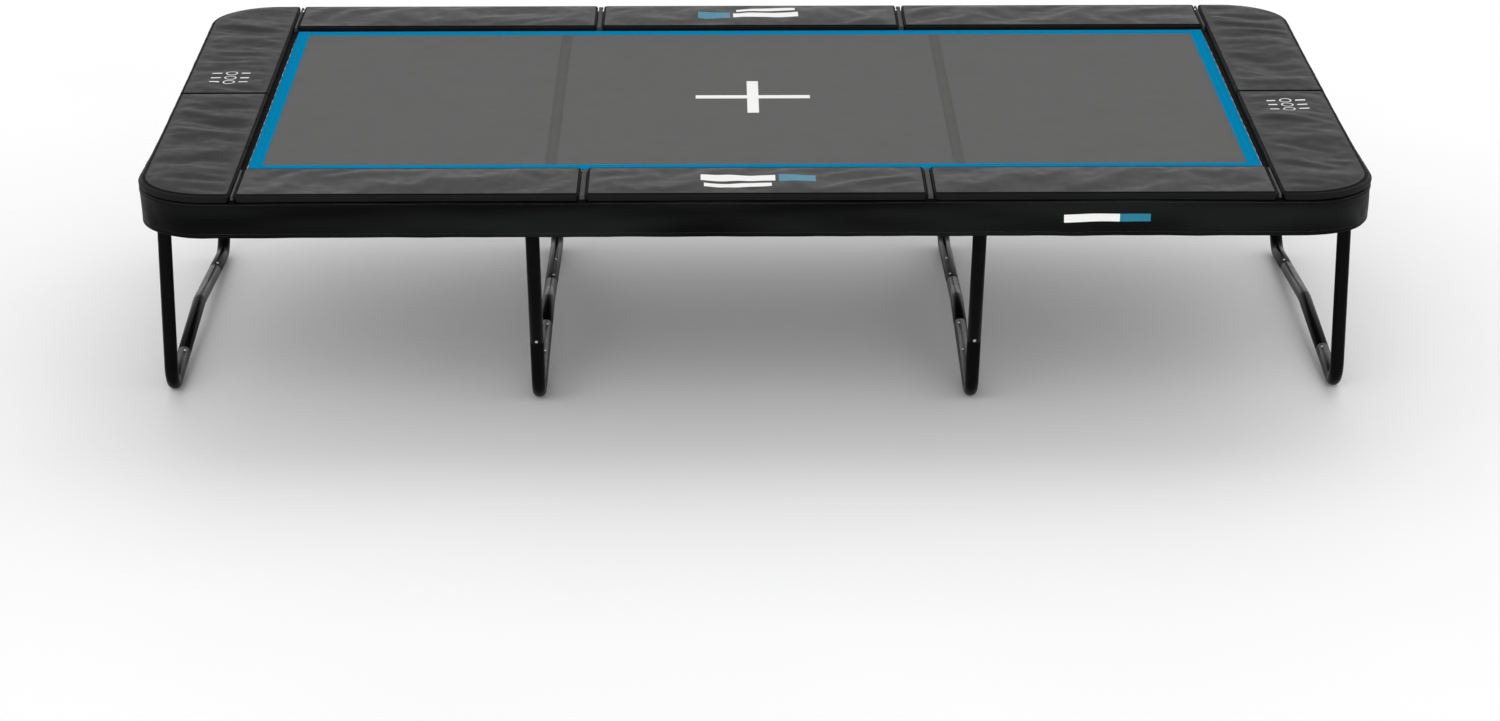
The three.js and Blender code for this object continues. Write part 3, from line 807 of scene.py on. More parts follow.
def add_springs():
    for name, (_, outward, _, edge, rail) in ROWS.items():
        skin = add_row(Skin(), name, *wire(spring_wire(rail - edge), WIRE_R, 4))
        piece = skin.piece(f"spring_row_{name}", [ZINC], sharp=120)
        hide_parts(f"springs_{name}")
        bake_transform(piece)


# --------------------------------------------------------------------------- jump mat

MAT_SAG = 5 * MM
MAT_SHEET = 2.4 * MM
TAPE_WIDTH_END = 58 * MM
TAPE_WIDTH_LONG = 69 * MM
PANEL_SEAM_X = 880 * MM
PANEL_SEAM_WIDTH = 50 * MM
WEB = 0.9 * MM          # how far a sewn-on strap stands over the weave
SEAM_WEB = 0.6 * MM     # the same for the doubled weave at the panels' seams
# The hem's section: (offset outward, height over the mat's top) in mm.
HEM_PROFILE = [(-32, -2.6), (-33, -4), (-32, -5.4), (0, -5.6), (2.6, -4.6), (3.2, -3.2),
               (2.2, -2.2), (0, -2.2)]
PRINT = 0.35 * MM       # how far the printed cross stands over it
STRAP_SPACING = 25 * MM
SEWN_IN = 6 * MM        # from a strap's edge to its stitches
STITCH_GAP = 2.5 * MM
# A stitch's faces: points 0 and 1 are its ends, and 2 to 5 go round its middle.
BEAD = [[0, 3, 2], [0, 4, 3], [0, 5, 4], [0, 2, 5], [1, 2, 3], [1, 3, 4], [1, 4, 5], [1, 5, 2]]


def mat_height(x, y):
    """The mat's top surface, which hangs a little in the middle."""
    inward_x, inward_y = 1 - (x / MAT_X) ** 2, 1 - (y / MAT_Y) ** 2
    return MAT_TOP - MAT_SAG * np.clip(inward_x, 0, 1) * np.clip(inward_y, 0, 1)


def on_mat(skin, name, material, slot, *nodes, sharp=40):
    """A piece that moves with the mat."""
    return belong(skin.piece(name, [material], sharp), slot, *nodes, body="mat")


def mat_border():
    """The mat's outline. It is drawn in a little between one spring and the next."""
    border, normals, _ = outline(-MAT_X, MAT_X, -MAT_Y, MAT_Y, [MAT_CORNER_R] * 4, 14 * MM)
    for k, (point, normal) in enumerate(zip(border, normals)):
        if max(abs(normal)) < 0.999:
            continue
        long_side = abs(normal[1]) > 0.5
        half = MAT_X if long_side else MAT_Y
        count = SPRING_COUNT["front" if long_side else "left"]
        pitch = 2 * (half - SPRING_END_MARGIN) / (count - 1)
        place = (point[0] if long_side else point[1]) + half - SPRING_END_MARGIN
        border[k] = point - normal * 1.1 * MM * math.sin(math.pi * place / pitch) ** 2
    return border


def strap_on_mat(x0, x1, y0, y1, lift):
    """A flat strap sewn on the mat, with soft edges. Gives vertices and faces."""
    edge = 1.2 * MM

    def steps(low, high):
        count = max(5, round((high - low) / STRAP_SPACING) + 1)
        return [low, low, *np.linspace(low + edge, high - edge, count), high, high]

    x, y = np.meshgrid(steps(x0, x1), steps(y0, y1))
    rise = np.full(x.shape, lift)
    rise[1, :] = rise[-2, :] = rise[:, 1] = rise[:, -2] = lift * 0.7
    rise[0, :] = rise[-1, :] = rise[:, 0] = rise[:, -1] = -0.6 * MM
    z = mat_height(x, y) + rise
    return np.stack([x, y, z], axis=-1).reshape(-1, 3), grid_faces(*x.shape)


def stitches(points, lift=0.4 * MM, length=5.5 * MM, radius=0.7 * MM):
    """A row of thread stitches along a line, as low beads. Gives vertices and faces."""
    marks = marks_along(points)
    starts = np.arange(STITCH_GAP, marks[-1] - length, length + STITCH_GAP)
    first, middle, last = (at_marks(starts + part * length, marks, points)
                           for part in (0, 0.5, 1))
    direction = unit(last - first)
    across = unit(np.cross(direction, Z_AXIS + 1e-6))
    up = np.cross(across, direction)
    sunk, middle = up * 0.3 * MM, middle + up * lift
    vertices = np.stack([first - sunk, last - sunk, middle + across * radius,
                         middle + up * radius, middle - across * radius,
                         middle - up * radius], axis=1).reshape(-1, 3)
    faces = (np.array(BEAD)[None] + np.arange(len(starts))[:, None, None] * 6).reshape(-1, 3)
    return vertices, faces


def mat_line(x0, y0, x1, y1, lift):
    """A straight line that follows the mat's surface."""
    x, y = np.linspace(x0, x1, 40), np.linspace(y0, y1, 40)
    return np.column_stack([x, y, mat_height(x, y) + lift])


def add_mat():
    border = mat_border()
    points, triangles = fill_outline(border, 70 * MM, 1)
    top = np.column_stack([points, mat_height(*points.T)])
    count, rim = len(points), len(border)
    skin = Skin().add(np.concatenate([top, top - Z_AXIS * MAT_SHEET]), [
        *triangles, *([i + count for i in face[::-1]] for face in triangles),
        *([k, k + count, (k + 1) % rim + count, (k + 1) % rim] for k in range(rim))])
    mat = on_mat(skin, "jump_mat_weave", MAT, "mat", "jump_mat")

    tape, threads = Skin(), Skin()
    for side in (-1, 1):
        y = sorted((side * MAT_Y, side * (MAT_Y - TAPE_WIDTH_LONG)))
        tape.add(*strap_on_mat(-MAT_X + 4 * MM, MAT_X - 4 * MM, *y, WEB))
        x = sorted((side * MAT_X, side * (MAT_X - TAPE_WIDTH_END)))
        tape.add(*strap_on_mat(*x, -MAT_Y + 1 * MM, MAT_Y - 1 * MM, 2 * WEB))
        reach = MAT_X - TAPE_WIDTH_END
        for inset in (SEWN_IN, TAPE_WIDTH_LONG - SEWN_IN, TAPE_WIDTH_LONG / 2):
            y = side * (MAT_Y - inset)
            threads.add(*stitches(mat_line(-reach, y, reach, y, WEB)))
        reach = MAT_Y - SEWN_IN
        for inset in (SEWN_IN, TAPE_WIDTH_END - SEWN_IN, TAPE_WIDTH_END / 2):
            x = side * (MAT_X - inset)
            threads.add(*stitches(mat_line(x, -reach, x, reach, 2 * WEB)))
    pieces = [on_mat(tape, "border_tape_webbing", BLUE, "tape", "mat_border_tape"),
              on_mat(threads, "border_tape_stitches", BLUE_THREAD, "tape", sharp=180)]

    seams, threads = Skin(), Skin()
    reach, half = MAT_Y - TAPE_WIDTH_LONG + 8 * MM, PANEL_SEAM_WIDTH / 2
    for middle in (-PANEL_SEAM_X, PANEL_SEAM_X):
        seams.add(*strap_on_mat(middle - half, middle + half, -reach, reach, SEAM_WEB))
        for offset in (-half + 5 * MM, -half + 11 * MM, half - 11 * MM, half - 5 * MM):
            x = middle + offset
            threads.add(*stitches(mat_line(x, -reach, x, reach, SEAM_WEB)))
    pieces += [on_mat(seams, "mat_panel_seams", MAT_DARK, "mat"),
               on_mat(threads, "mat_panel_stitches", GREY_THREAD_AND_SEAM_HIGHLIGHT, "mat", sharp=180),
               add_centre_mark(), *add_hem_and_rings()]


def add_centre_mark():
    """A plain cross printed in the middle of the mat."""
    half_bar, half_length = 26 * MM, 0.26
    skin = Skin().add(*strap_on_mat(-half_length, half_length, -half_bar, half_bar, PRINT))
    for y in ((-half_length, -half_bar), (half_bar, half_length)):
        skin.add(*strap_on_mat(-half_bar, half_bar, *y, PRINT))
    return on_mat(skin, "centre_mark", WHITE_INK, "tape")


def add_hem_and_rings():
    """The webbing hem under the mat's edge, and the wire rings that it holds."""
    border, normals, _ = outline(-MAT_X, MAT_X, -MAT_Y, MAT_Y, [MAT_CORNER_R] * 4, 20 * MM)
    vertices = []
    for offset, drop in np.array(HEM_PROFILE) * MM:
        ring = border + normals * offset
        vertices.append(np.column_stack([ring, mat_height(*ring.T) + drop]))
    hem = Skin().add(np.concatenate(vertices),
                     grid_faces(len(HEM_PROFILE), len(border), wrap=True, closed=True))
    hem = on_mat(hem, "mat_edge_hem", BLACK_WEBBING, "mat")

    sewn = (-12 * MM, 0, 0)
    shape = bent_path([sewn, (-12 * MM, 17 * MM, 0), (RING_APEX + 3 * MM, 0, 0),
                       (-12 * MM, -17 * MM, 0), sewn],
                      [4 * MM, 3.5 * MM, 4 * MM], math.radians(25))[:-1]
    drop = (SPRING_MAT_Z - (MAT_TOP - 8 * MM)) / RING_APEX
    shape[:, 2] = MAT_TOP - 8 * MM + np.maximum(shape[:, 0], 0) * drop
    rings_skin = Skin()
    for name in ROWS:
        add_row(rings_skin, name, *wire(shape, WIRE_R, 6, closed=True))
    return [hem, on_mat(rings_skin, "mat_edge_rings", ZINC, "spring", sharp=120)]


# ------------------------------------------------------------------------------- pads

PAD_SPACING = 12 * MM
PAD_EDGE = 12 * MM          # from the pad's outline to where its flat top begins
PAD_SAG = 3.5 * MM          # the top's rim lies this far under the pad's full height
PAD_CORNER_R = 16 * MM
PAD_SIDE_TURN = 12 * MM     # height in which a side bulges out to its full flare
WRINKLE = 9 * MM
WRINKLE_CAP = 13 * MM
END_FOLDS = (-16, 0.5, 150 * MM)    # the wrinkles' direction in degrees, length and width
LONG_FOLDS = (38, 0.7, 180 * MM)
COVER_GROW = 0.002          # the cover is this much larger than its foam
COVER_FRAMES = 14
CLOTH = {"vertex_group_mass": "rim", "quality": 4, "mass": 0.2, "tension_stiffness": 30,
         "compression_stiffness": 30, "shear_stiffness": 15, "bending_stiffness": 8,
         "air_damping": 4, "shrink_min": -COVER_GROW}

# (inset from the outline, height over the rim) in mm: the grey top's sewn edge, and then
# the black piping, side and underside.
PAD_TOP_LOOPS = [(11.2, -0.1), (10.0, -0.7), (9.4, -1.6)]
PAD_SIDE_LOOPS = [(9.2, -1.1), (8.0, 0.1), (6.2, 0.5), (4.4, 0.1), (2.9, -1.2), (2.4, -2.5),
                  (1.5, -3.6), (0.3, -6.0), (-0.7, -10.0), (-1.0, -14.0), (-0.6, -18.0),
                  (0.9, -20.6), (1.2, -21.4), (0.4, -22.6), (0.2, -26.0), (1.0, -28.5),
                  (4.0, -30.4)]
PIPING_LOOPS = 6
HEM_WAVE = 3.5 * MM         # the hem on a pad's side wanders up and down
HEM_WAVE_DROPS = (8 * MM, 21 * MM, 29 * MM)
SEAM_REACH = 4 * MM         # the covers reach this far over the gaps at the centre pads
STRIP_GAP_HALF = 19 * MM

RINGS_FROM_SEAM = 0.245     # the printed rings' middle, from the end pads' butt seam
CALM_X, CALM_Y = 0.26, 0.13  # round a printed mark the cover lies smoother
INK_LIFT = 0.4 * MM
MARK_RING_SIDES = 32
MARK_RING_RADII = (22 * MM, 28 * MM)
MARK_RING_ROWS = (-68 * MM, 0, 68 * MM)
# The bars on the centre pads: where each starts and ends along the pad, its middle's
# distance from the pad's middle, towards the mat, and half its width.
WHITE_BARS = [(-0.234, 0.082, 12 * MM, 40 * MM), (-0.22, 0.066, -83 * MM, 22 * MM)]
BLUE_BARS = [(0.097, 0.253, 12 * MM, 50 * MM)]


def pad_plans():
    """Each pad's node and its corner radii, anticlockwise from +X +Y."""
    plans = {}
    turn = {("right", "rear"): 0, ("left", "rear"): 1, ("left", "front"): 2,
            ("right", "front"): 3}
    for y_name, _ in SIDES_Y:
        for x_name, _ in SIDES_X:
            radii = [PAD_CORNER_R] * 4
            radii[turn[(x_name, y_name)]] = OUTER_CORNER_R
            plans[f"end_pad_{y_name}_{x_name}"] = radii
        for place in ("left", "centre", "right"):
            plans[f"long_pad_{y_name}_{place}"] = [PAD_CORNER_R] * 4
    return plans


def mark_places():
    """The pads that have a printed mark, and the middle of each mark."""
    places = {}
    for y_name, _ in SIDES_Y:
        low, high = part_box(f"long_pad_{y_name}_centre")
        places[f"long_pad_{y_name}_centre"] = (0.0, (low.y + high.y) / 2)
    for name, side in (("rear_left", 1), ("front_right", -1)):
        low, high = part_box(f"end_pad_{name}")
        places[f"end_pad_{name}"] = ((low.x + high.x) / 2, side * RINGS_FROM_SEAM)
    return places


def seam_side(x):
    """A pad's end in X. At the centre pads' seams the cover bulges towards the strip."""
    middle = sum(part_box("pad_strip_front_right_seam")[k].x for k in (0, 1)) / 2
    past = abs(x) - middle
    if abs(past) > 2 * STRIP_GAP_HALF:
        return x
    return x - math.copysign(SEAM_REACH, x) * math.copysign(1, past)


class PadShape:
    """One pad's flat top as triangles, before and after its cover settles."""

    def __init__(self, node, radii, seed):
        self.node = node
        low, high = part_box(node)
        left, right = (seam_side(x) for x in (low.x, high.x))
        self.border, self.normals, _ = outline(left, right, low.y, high.y, radii, PAD_SPACING)
        rim = self.border - self.normals * PAD_EDGE
        points, self.triangles = fill_outline(rim, PAD_SPACING, seed)
        x, y = points.T
        depth = distance_to(rim, points)
        self.softness = 1 - np.exp(-depth / (40 * MM))
        if node in mark_places():
            mark_x, mark_y = mark_places()[node]
            away = ((x - mark_x) / CALM_X) ** 2 + ((y - mark_y) / CALM_Y) ** 2
            self.softness *= 1 - 0.75 * np.exp(-away ** 2)
        crown = PAD_SAG * (1 - np.exp(-depth / (45 * MM)))
        angle, length, width = END_FOLDS if node.startswith("end") else LONG_FOLDS
        folds = streaks(x, y, math.radians(angle), length, width, seed)
        self.flat = np.column_stack([points, PAD_TOP - PAD_SAG + crown])
        self.seeded = self.flat + np.outer(folds * self.softness * WRINKLE, Z_AXIS)
        self.rim_count = len(rim)
        self.settled = self.seeded
        inside, way_out = outer_edge(self.border)
        at_edge = np.clip(1 - inside / (8 * MM), 0, 1)
        self.bulge = way_out * (flare(self.border) * at_edge)[:, None]

    def settle(self, moved):
        """Takes the simulated points, held within the cap."""
        shift = np.clip(moved - self.flat, -WRINKLE_CAP, WRINKLE_CAP)
        self.settled = self.flat + shift * self.softness[:, None] ** 0.3

    def side_wave(self, drop):
        """How far a point on the pad's side stands out, from soft dents."""
        dents = noise_at(*self.border.T / (70 * MM), drop / (28 * MM) + 4)
        return dents * min(1, -drop / (10 * MM)) * 1.6 * MM

    def loop(self, inset, drop):
        inset, drop = inset * MM, drop * MM
        out = np.full(len(self.border), -inset)
        if inset < 3 * MM:
            out += self.side_wave(drop)
        bulge = self.bulge * np.clip(-drop / PAD_SIDE_TURN, 0, 1) ** 0.6
        ring = self.border + self.normals * out[:, None] + bulge
        wave = noise_at(*self.border.T / 0.24, 17)
        wave = wave * np.interp(-drop, HEM_WAVE_DROPS, (0, HEM_WAVE, 0))
        return np.column_stack([ring, PAD_TOP - PAD_SAG + drop + wave])

    def skin(self):
        """The whole closed pad: grey top, and black sides and underside."""
        skin = Skin()
        count = self.rim_count
        loops = [self.loop(*pair) for pair in PAD_TOP_LOOPS]
        top = np.concatenate([self.settled, *loops])
        offset = len(self.settled) - count
        bands = grid_faces(len(loops) + 1, count, wrap=True)
        bands = np.where(bands >= count, bands + offset, bands)[:, ::-1]
        skin.add(top, [*self.triangles, *bands], slot=0)
        sides = [loops[-1]] + [self.loop(*pair) for pair in PAD_SIDE_LOOPS]
        last = (len(sides) - 1) * count
        faces = [*grid_faces(len(sides), count, wrap=True)[:, ::-1],
                 range(last, last + count)[::-1]]
        skin.add(np.concatenate(sides), faces, slot=1)
        piping = PIPING_LOOPS * count
        first = len(skin.slots) - len(faces)
        skin.slots[first:first + piping] = [2] * piping
        return skin


def settle_covers(shapes):
    """Cloth: each cover is a little too large for its foam and is held at its rim, so it
    buckles into soft folds along the wrinkles it starts with."""
    vertices, faces, held, start = [], [], [], 0
    for shape in shapes:
        vertices.append(shape.seeded)
        faces += [[i + start for i in face] for face in shape.triangles]
        held += range(start, start + shape.rim_count)
        start += len(shape.seeded)
    mesh = bpy.data.meshes.new("covers")
    mesh.from_pydata(np.concatenate(vertices).tolist(), [], faces)
    covers, scene = link("covers", mesh), bpy.context.scene
    covers.vertex_groups.new(name="rim").add(held, 1.0, "REPLACE")
    cloth = covers.modifiers.new("cloth", "CLOTH")
    cloth.point_cache.frame_end = COVER_FRAMES
    cloth.collision_settings.use_collision = False
    for name, value in CLOTH.items():
        setattr(cloth.settings, name, value)
    cloth.settings.effector_weights.gravity = 0
    smooth = covers.modifiers.new("foam fills the creases", "SMOOTH")
    smooth.iterations = 6
    for number in range(1, COVER_FRAMES + 1):
        scene.frame_set(number)
    evaluated = covers.evaluated_get(bpy.context.evaluated_depsgraph_get())
    moved = np.zeros(start * 3, np.float32)
    evaluated.data.vertices.foreach_get("co", moved)
    moved = moved.reshape(-1, 3).astype(float)
    bpy.data.objects.remove(covers)
    scene.frame_set(1)
    start = 0
    for shape in shapes:
        shape.settle(moved[start:start + len(shape.seeded)])
        start += len(shape.seeded)


def printed_on(piece, starts, way):
    """Where rays meet a piece, lifted off it by the thickness of a print."""
    tree = BVHTree.FromObject(piece, bpy.context.evaluated_depsgraph_get())
    return np.array([np.array(tree.ray_cast(Vector(start), Vector(way))[0]) - way * INK_LIFT
                     for start in starts])


def laid_on(pad, x0, x1, y0, y1, step=12 * MM):
    """A thin printed patch that follows a pad's top. Gives vertices and faces."""
    xs, ys = (np.linspace(low, high, max(2, round((high - low) / step) + 1))
              for low, high in ((x0, x1), (y0, y1)))
    starts = [(x, y, PAD_TOP + 0.1) for y in ys for x in xs]
    return printed_on(pad, starts, -Z_AXIS), grid_faces(len(ys), len(xs))


def add_pads():
    shapes = [PadShape(node, radii, seed)
              for seed, (node, radii) in enumerate(pad_plans().items())]
    settle_covers(shapes)
    pads = {}
    for shape in shapes:
        grey = END_PAD_GREY if shape.node.startswith("end") else PAD_GREY
        pad = shape.skin().piece(shape.node + "_cover", [grey, PAD_BLACK, PIPING], 60)
        belong(pad, "pad", shape.node)
        pads[shape.node] = pad
    return pads


def ring_on(pad, x, y):
    """A thin printed ring on a pad's top. Gives vertices and faces."""
    turns = np.arange(MARK_RING_SIDES) * 2 * math.pi / MARK_RING_SIDES
    starts = [(x + reach * math.cos(turn), y + reach * math.sin(turn), PAD_TOP + 0.1)
              for reach in MARK_RING_RADII for turn in turns]
    faces = grid_faces(2, MARK_RING_SIDES, wrap=True)[:, ::-1]
    return printed_on(pad, starts, -Z_AXIS), faces


def add_pad_marks(pads):
    """Plain printed bars on the two middle pads, and rings and bars on two end pads."""
    for node, (x, y) in mark_places().items():
        name, side = node[node.index("_pad_") + 5:], math.copysign(1, y)
        white, blue = Skin(), Skin()
        if "centre" in name:
            for skin, bars in ((white, WHITE_BARS), (blue, BLUE_BARS)):
                for near, far, across, half in bars:
                    ends, middle = sorted((-side * near, -side * far)), y - side * across
                    skin.add(*laid_on(pads[node], *ends, middle - half, middle + half))
            belong(blue.piece(f"pad_mark_{name}_badge", [BLUE_INK]), "tape")
        else:
            for row in MARK_RING_ROWS:
                white.add(*ring_on(pads[node], x, y + row))
                for near, far in ((-0.09, -0.045), (0.045, 0.085)):
                    ends = sorted((x + side * near, x + side * far))
                    white.add(*laid_on(pads[node], *ends, y + row - 7 * MM,
                                       y + row + 7 * MM, step=9 * MM))
        belong(white.piece(f"pad_mark_{name}", [WHITE_INK]), "tape")


FLAP_SHEET = 1.6 * MM
FLAP_GAP = 4.5 * MM         # left between the flap and the mat's edge
FLAP_RISE = 6 * MM          # its inner edge curls up to the mat
# (share of its width inward, height in sheets) round its section.
FLAP_PROFILE = [(-0.1, 0.6), (0.25, 0.5), (0.6, 0.3), (0.97, 0.0), (1.0, -0.5), (0.98, -1.0),
                (0.6, -1.0), (0.25, -1.0), (-0.1, -1.0)]


def add_inner_flap():
    """A narrow black fabric ring, sewn under the pads' inner edges, over the hooks."""
    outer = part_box("pad_inner_flap")[1]
    border, normals, marks = outline(-outer.x, outer.x, -outer.y, outer.y,
                                     [PAD_CORNER_R * 2] * 4, 14 * MM)
    width = outer.x - MAT_X - FLAP_GAP
    z = outer.z + 0.5 * MM
    rows = []
    for share, lift in FLAP_PROFILE:
        ring = border - normals * width * share
        wave = noise_at(*border.T / 0.09, 3)
        height = z + lift * FLAP_SHEET + wave * 0.8 * MM * max(share, 0)
        height += FLAP_RISE * max(share, 0) ** 2
        rows.append(np.column_stack([ring, height]))
    faces = grid_faces(len(rows), len(border), wrap=True, closed=True)
    flap = Skin().add(np.concatenate(rows), faces).piece("pad_inner_flap_fabric", [PIPING])
    belong(flap, "pad", "pad_inner_flap")
    [f"{node}_cover" for node in pad_plans()]


# ------------------------------------------------------------------------- pad strips

STRIP_THICKNESS = 1.4 * MM
STRIP_TUCK = 22 * MM        # how far a strip goes down between the pads and the mat
STRIP_OUTER_DROP = 15 * MM
GUSSET_RISE = 4 * MM        # from the pads' underside to the fabric between them
GUSSET_DROPS = (9 * MM, 20 * MM)      # at the mat, and at the outer edge
BUTT_GUSSET_WIDTH = 40 * MM
BUTT_GUSSET_DROP = 2 * MM   # from the pads' underside to the fabric under the butt seams


def across_pads(x, z, y_name, inner_drop, outer_drop, out):
    """A line over the pads' width, turned down at both ends."""
    low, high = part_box(f"long_pad_{y_name}_centre")
    side = math.copysign(1, low.y)
    inner, outer = sorted((abs(low.y), abs(high.y)))
    path = bent_path([(x, side * inner, z - inner_drop), (x, side * inner, z),
                      (x, side * (outer + out), z), (x, side * (outer + out), z - outer_drop)],
                     [7 * MM, 7 * MM], math.radians(12))
    return refine(path, 15 * MM)


def add_strap(name, material, slot, path, across, width, under, *nodes):
    """A strap held straight. The piece under it is not used."""
    strap = belong(strap_skin(path, across, width).piece(name, [material]), slot, *nodes)


def add_pad_strips():
    """Between pads: black fabric low in the gap, and a webbing strip over it."""
    for y_name, _ in SIDES_Y:
        centre, long_pad, end_pad = (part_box(f"{pad}_{y_name}_{place}") for pad, place in
                                     (("long_pad", "centre"), ("long_pad", "right"),
                                      ("end_pad", "right")))
        gaps = {"seam": (centre[1].x, long_pad[0].x), "corner": (long_pad[1].x, end_pad[0].x)}
        for x_name, sx in SIDES_X:
            cover = f"long_pad_{y_name}_{x_name}_cover"
            for seam, (near, far) in gaps.items():
                path = across_pads(sx * (near + far) / 2, PAD_BOTTOM + GUSSET_RISE, y_name,
                                   *GUSSET_DROPS, FLARE_ALONG_SIDES - 4 * MM)
                add_strap(f"pad_gusset_{y_name}_{x_name}_{seam}", SKIRT_BLACK, "pad", path,
                          X_AXIS, far - near + 1 * MM, cover)
                node = f"pad_strip_{y_name}_{x_name}_{seam}"
                low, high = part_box(node)
                path = across_pads((low.x + high.x) / 2, high.z - STRIP_THICKNESS / 2, y_name,
                                   STRIP_TUCK, STRIP_OUTER_DROP, FLARE_ALONG_SIDES)
                add_strap(node + "_webbing", GREY_WEBBING, "strip", path, X_AXIS,
                          round(high.x - low.x, 4), cover, node)


def add_butt_gussets():
    """A strip of black fabric under each seam where two end pads meet."""
    z = PAD_BOTTOM - BUTT_GUSSET_DROP
    for x_name, sx in SIDES_X:
        inner, outer = sorted(abs(corner.x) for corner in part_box(f"end_pad_rear_{x_name}"))
        path = refine(np.array([(sx * inner, 0, z), (sx * (outer - 4 * MM), 0, z)]), 15 * MM)
        add_strap(f"pad_gusset_end_{x_name}", SKIRT_BLACK, "pad", path, Y_AXIS,
                  BUTT_GUSSET_WIDTH, f"end_rail_{x_name}_tube")


def refine(path, step):
    """The same line, with points no further apart than `step`."""
    points = [path[0]]
    for before, after in zip(path, path[1:]):
        count = max(1, math.ceil(np.linalg.norm(after - before) / step))
        points += [before + (after - before) * k / count for k in range(1, count + 1)]
    return np.array(points)


def strap_skin(path, across, width):
    """A closed flat strap along a path, with rounded edges."""
    up = np.cross(across, unit(np.gradient(path, axis=0)))
    half, edge = width / 2, STRIP_THICKNESS / 2
    section = [(half, 0), (half - edge * 0.4, edge), (half - 3 * edge, edge * 1.1),
               (0, edge * 0.9), (-half + 3 * edge, edge * 1.1), (-half + edge * 0.4, edge),
               (-half, 0), (-half + edge * 0.4, -edge), (0, -edge), (half - edge * 0.4, -edge)]
    side, rise = np.array(section).T
    vertices = (path[:, None] + across * side[:, None] + up[:, None] * rise[:, None])
    uvs = [(s, m) for m in marks_along(path) for s in side]
    return Skin().add(vertices, capped_faces(len(path), len(section)), uvs=uvs)


# ------------------------------------------------------------------------------ skirt

SKIRT_STEP = 11 * MM
SKIRT_SHEET = 1.2 * MM
SKIRT_FLARE_KEPT = 0.6      # share of the flare left at the lower edge

# (height over the skirt's lower edge, offset outward) in mm, from the top down.
SKIRT_TOP_ROWS = [(155.5, -2.6), (155, -0.8), (152, 1.4), (149.5, 1.2), (147.8, -1.6),
                  (147.0, -2.0), (146.2, -1.2), (143, 2.2), (138, 2.0)]
SKIRT_HEM_ROWS = [(20, 0.2), (18.4, -0.2), (17.6, -0.7), (16.8, -0.2), (15, 0.7), (10, 1.0),
                  (4, 0.9), (1, 0.6), (0, -0.4), (0.8, -1.6), (6, -2.0), (17, -2.0)]
SKIRT_PLAIN_ROWS = [(z, 0.5) for z in np.linspace(131, 27, 12)]
SKIRT_TOP_SEAM = 5          # the rows that the stitches run along
SKIRT_HEM_SEAM = len(SKIRT_TOP_ROWS) + len(SKIRT_PLAIN_ROWS) + 2
# Broad folds that lean over, small ones, and the puckers at the top seam: how far they lean,
# their length and height, the noise's seed, and their depth in mm.
SKIRT_FOLDS = [(0.9, 0.17, 0.5, 2, 16), (0, 0.06, 0.1, 5, 1.2), (0, 0.11, 0.03, 9, 1.4)]
SKIRT_MARK_X = (1.29, 1.655)
SKIRT_MARK_Z = (62 * MM, 96 * MM)


def add_skirt():
    border, normals, marks = outline(-OUTER_X, OUTER_X, -OUTER_Y, OUTER_Y,
                                     [OUTER_CORNER_R] * 4, SKIRT_STEP)
    count, along = len(border), marks[:-1]
    height = (SKIRT_TOP - SKIRT_BOTTOM) / MM
    rows, uvs = [], []
    for z_mm, offset in SKIRT_TOP_ROWS + SKIRT_PLAIN_ROWS + SKIRT_HEM_ROWS:
        z = z_mm * MM
        looseness = 0.45 + 0.55 * math.sin(math.pi * min(1, z_mm / height) ** 0.8)
        near_top = math.exp(-((z_mm - 146) / 9) ** 2)
        out = sum(noise_at((along + z * lean) / length, z / tall, seed) * size * share * MM
                  for (lean, length, tall, seed, size), share in
                  zip(SKIRT_FOLDS, (looseness, looseness, near_top)))
        bulge = flare(border) * (SKIRT_FLARE_KEPT + (1 - SKIRT_FLARE_KEPT) * z_mm / height)
        ring = border + normals * ((offset - SKIRT_SHEET / MM) * MM + out + bulge)[:, None]
        wave = noise_at(along / 0.3, 1, 12) * MM * np.interp(z_mm, (20, 140), (0.8, 3.2))
        rows.append(np.column_stack([ring, SKIRT_BOTTOM + z + wave]))
        uvs += [(mark, z) for mark in along]
    faces = grid_faces(len(rows), count, wrap=True)[:, ::-1]
    skirt = Skin().add(np.concatenate(rows), faces, uvs=uvs).piece("skirt_fabric",
                                                                  [SKIRT_BLACK], 70)
    thick = skirt.modifiers.new("thickness", "SOLIDIFY")
    thick.thickness = SKIRT_SHEET
    thick.offset = -1
    belong(skirt, "skirt", "skirt")

    threads, out = Skin(), np.column_stack([normals, np.zeros(count)]) * 0.5 * MM
    # The top seam's stitches are grey on the black skirt: a painted highlight, in place of the
    # light line along the seam's ridge.
    for slot, (row, radius) in enumerate(((SKIRT_HEM_SEAM, 0.6 * MM), (SKIRT_TOP_SEAM, 0.9 * MM))):
        line = rows[row] + out
        threads.add(*stitches(np.vstack([line, line[:1]]), lift=0, length=6 * MM,
                              radius=radius), slot)
    threads = belong(threads.piece("skirt_stitches", [BLACK_THREAD, GREY_THREAD_AND_SEAM_HIGHLIGHT], 180),
                     "skirt")

    mark = add_skirt_mark(skirt)


def add_skirt_mark(skirt):
    """A plain printed bar on the front of the skirt, a third of it blue."""
    xs = np.linspace(*SKIRT_MARK_X, 32)
    zs = SKIRT_BOTTOM + np.linspace(*SKIRT_MARK_Z, 6)
    starts = [(x, -OUTER_Y - 0.2, z) for z in zs for x in xs]
    skin = Skin().add(printed_on(skirt, starts, Y_AXIS), grid_faces(len(zs), len(xs)))
    columns = len(xs) - 1
    skin.slots = [int(k % columns >= columns * 2 // 3) for k in range(len(skin.slots))]
    return belong(skin.piece("skirt_mark", [WHITE_INK, BLUE_INK]), "tape")


# --------------------------------------------------------------- camera, floor, light

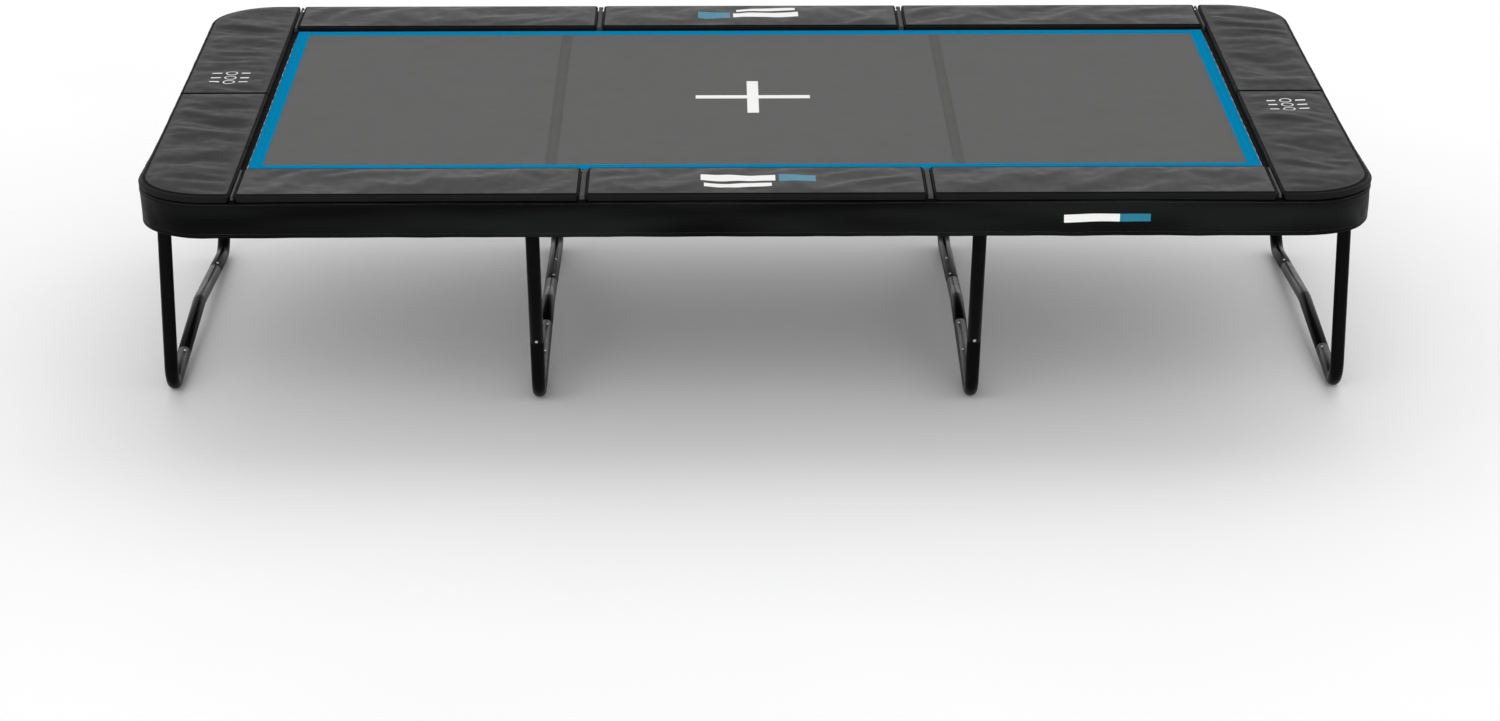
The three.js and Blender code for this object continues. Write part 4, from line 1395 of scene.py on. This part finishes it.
CAMERA_PLACE = (-0.175, -17.375, 6.032)
CAMERA_DOWN = math.radians(19.74)
CAMERA_TURN = math.radians(-0.536)
CAMERA_LENS = 95.0
FLOOR_HALF = 90
ROOM_LOW, ROOM_HIGH = 1.6, 0.38     # how bright the room is below and above


def add_camera():
    data = bpy.data.cameras.new("camera")
    data.sensor_width = 36
    data.lens = CAMERA_LENS
    data.clip_end = 200
    camera = link("camera", data)
    camera.location = CAMERA_PLACE
    camera.rotation_euler = (math.pi / 2 - CAMERA_DOWN, 0, CAMERA_TURN)
    bpy.context.scene.camera = camera


def add_floor():
    paint = Paint("pale_floor", Roughness=0.7, Specular_IOR_Level=0.1)
    paint.colour((0.92, 0.92, 0.92), (0.94, 0.94, 0.94), paint.noise(2.0, 2))
    mesh = bpy.data.meshes.new("floor")
    corners = [(x * FLOOR_HALF, y * FLOOR_HALF, 0) for x, y in
               ((-1, -1), (1, -1), (1, 1), (-1, 1))]
    mesh.from_pydata(corners, [], [(0, 1, 2, 3)])
    mesh.materials.append(paint.material)
    link("floor", mesh)


def add_sun(name, energy, spread, tilt, lean):
    """A large soft light. Tilt is towards the front, so a positive one shines backwards."""
    data = bpy.data.lights.new(name, "SUN")
    data.energy = energy
    data.angle = math.radians(spread)
    link(name, data).rotation_euler = (math.radians(tilt), math.radians(lean), 0)


def add_light():
    """A bright room that is brightest low down, a large light high behind, and a weaker
    one in front."""
    world = bpy.data.worlds.new("studio")
    world.use_nodes = True
    nodes, links = world.node_tree.nodes, world.node_tree.links
    place = nodes.new("ShaderNodeTexCoord")
    height = nodes.new("ShaderNodeSeparateXYZ")
    glow = nodes.new("ShaderNodeMapRange")
    glow.inputs["To Min"].default_value = ROOM_LOW
    glow.inputs["To Max"].default_value = ROOM_HIGH
    links.new(place.outputs["Generated"], height.inputs["Vector"])
    links.new(height.outputs["Z"], glow.inputs["Value"])
    links.new(glow.outputs["Result"], nodes["Background"].inputs["Strength"])
    nodes["Background"].inputs["Color"].default_value = (1, 1, 1, 1)
    bpy.context.scene.world = world
    add_sun("rear_softbox", 0.75, 60, -34, 8)
    add_sun("front_softbox", 0.5, 40, 50, -14)
    bpy.context.scene.view_settings.view_transform = "Standard"


add_camera()
add_floor()
add_light()
add_rails()
add_corner_legs()
add_mid_legs()
add_leg_details()
add_springs()
add_mat()
add_pad_marks(add_pads())
add_inner_flap()
add_pad_strips()
add_butt_gussets()
add_skirt()
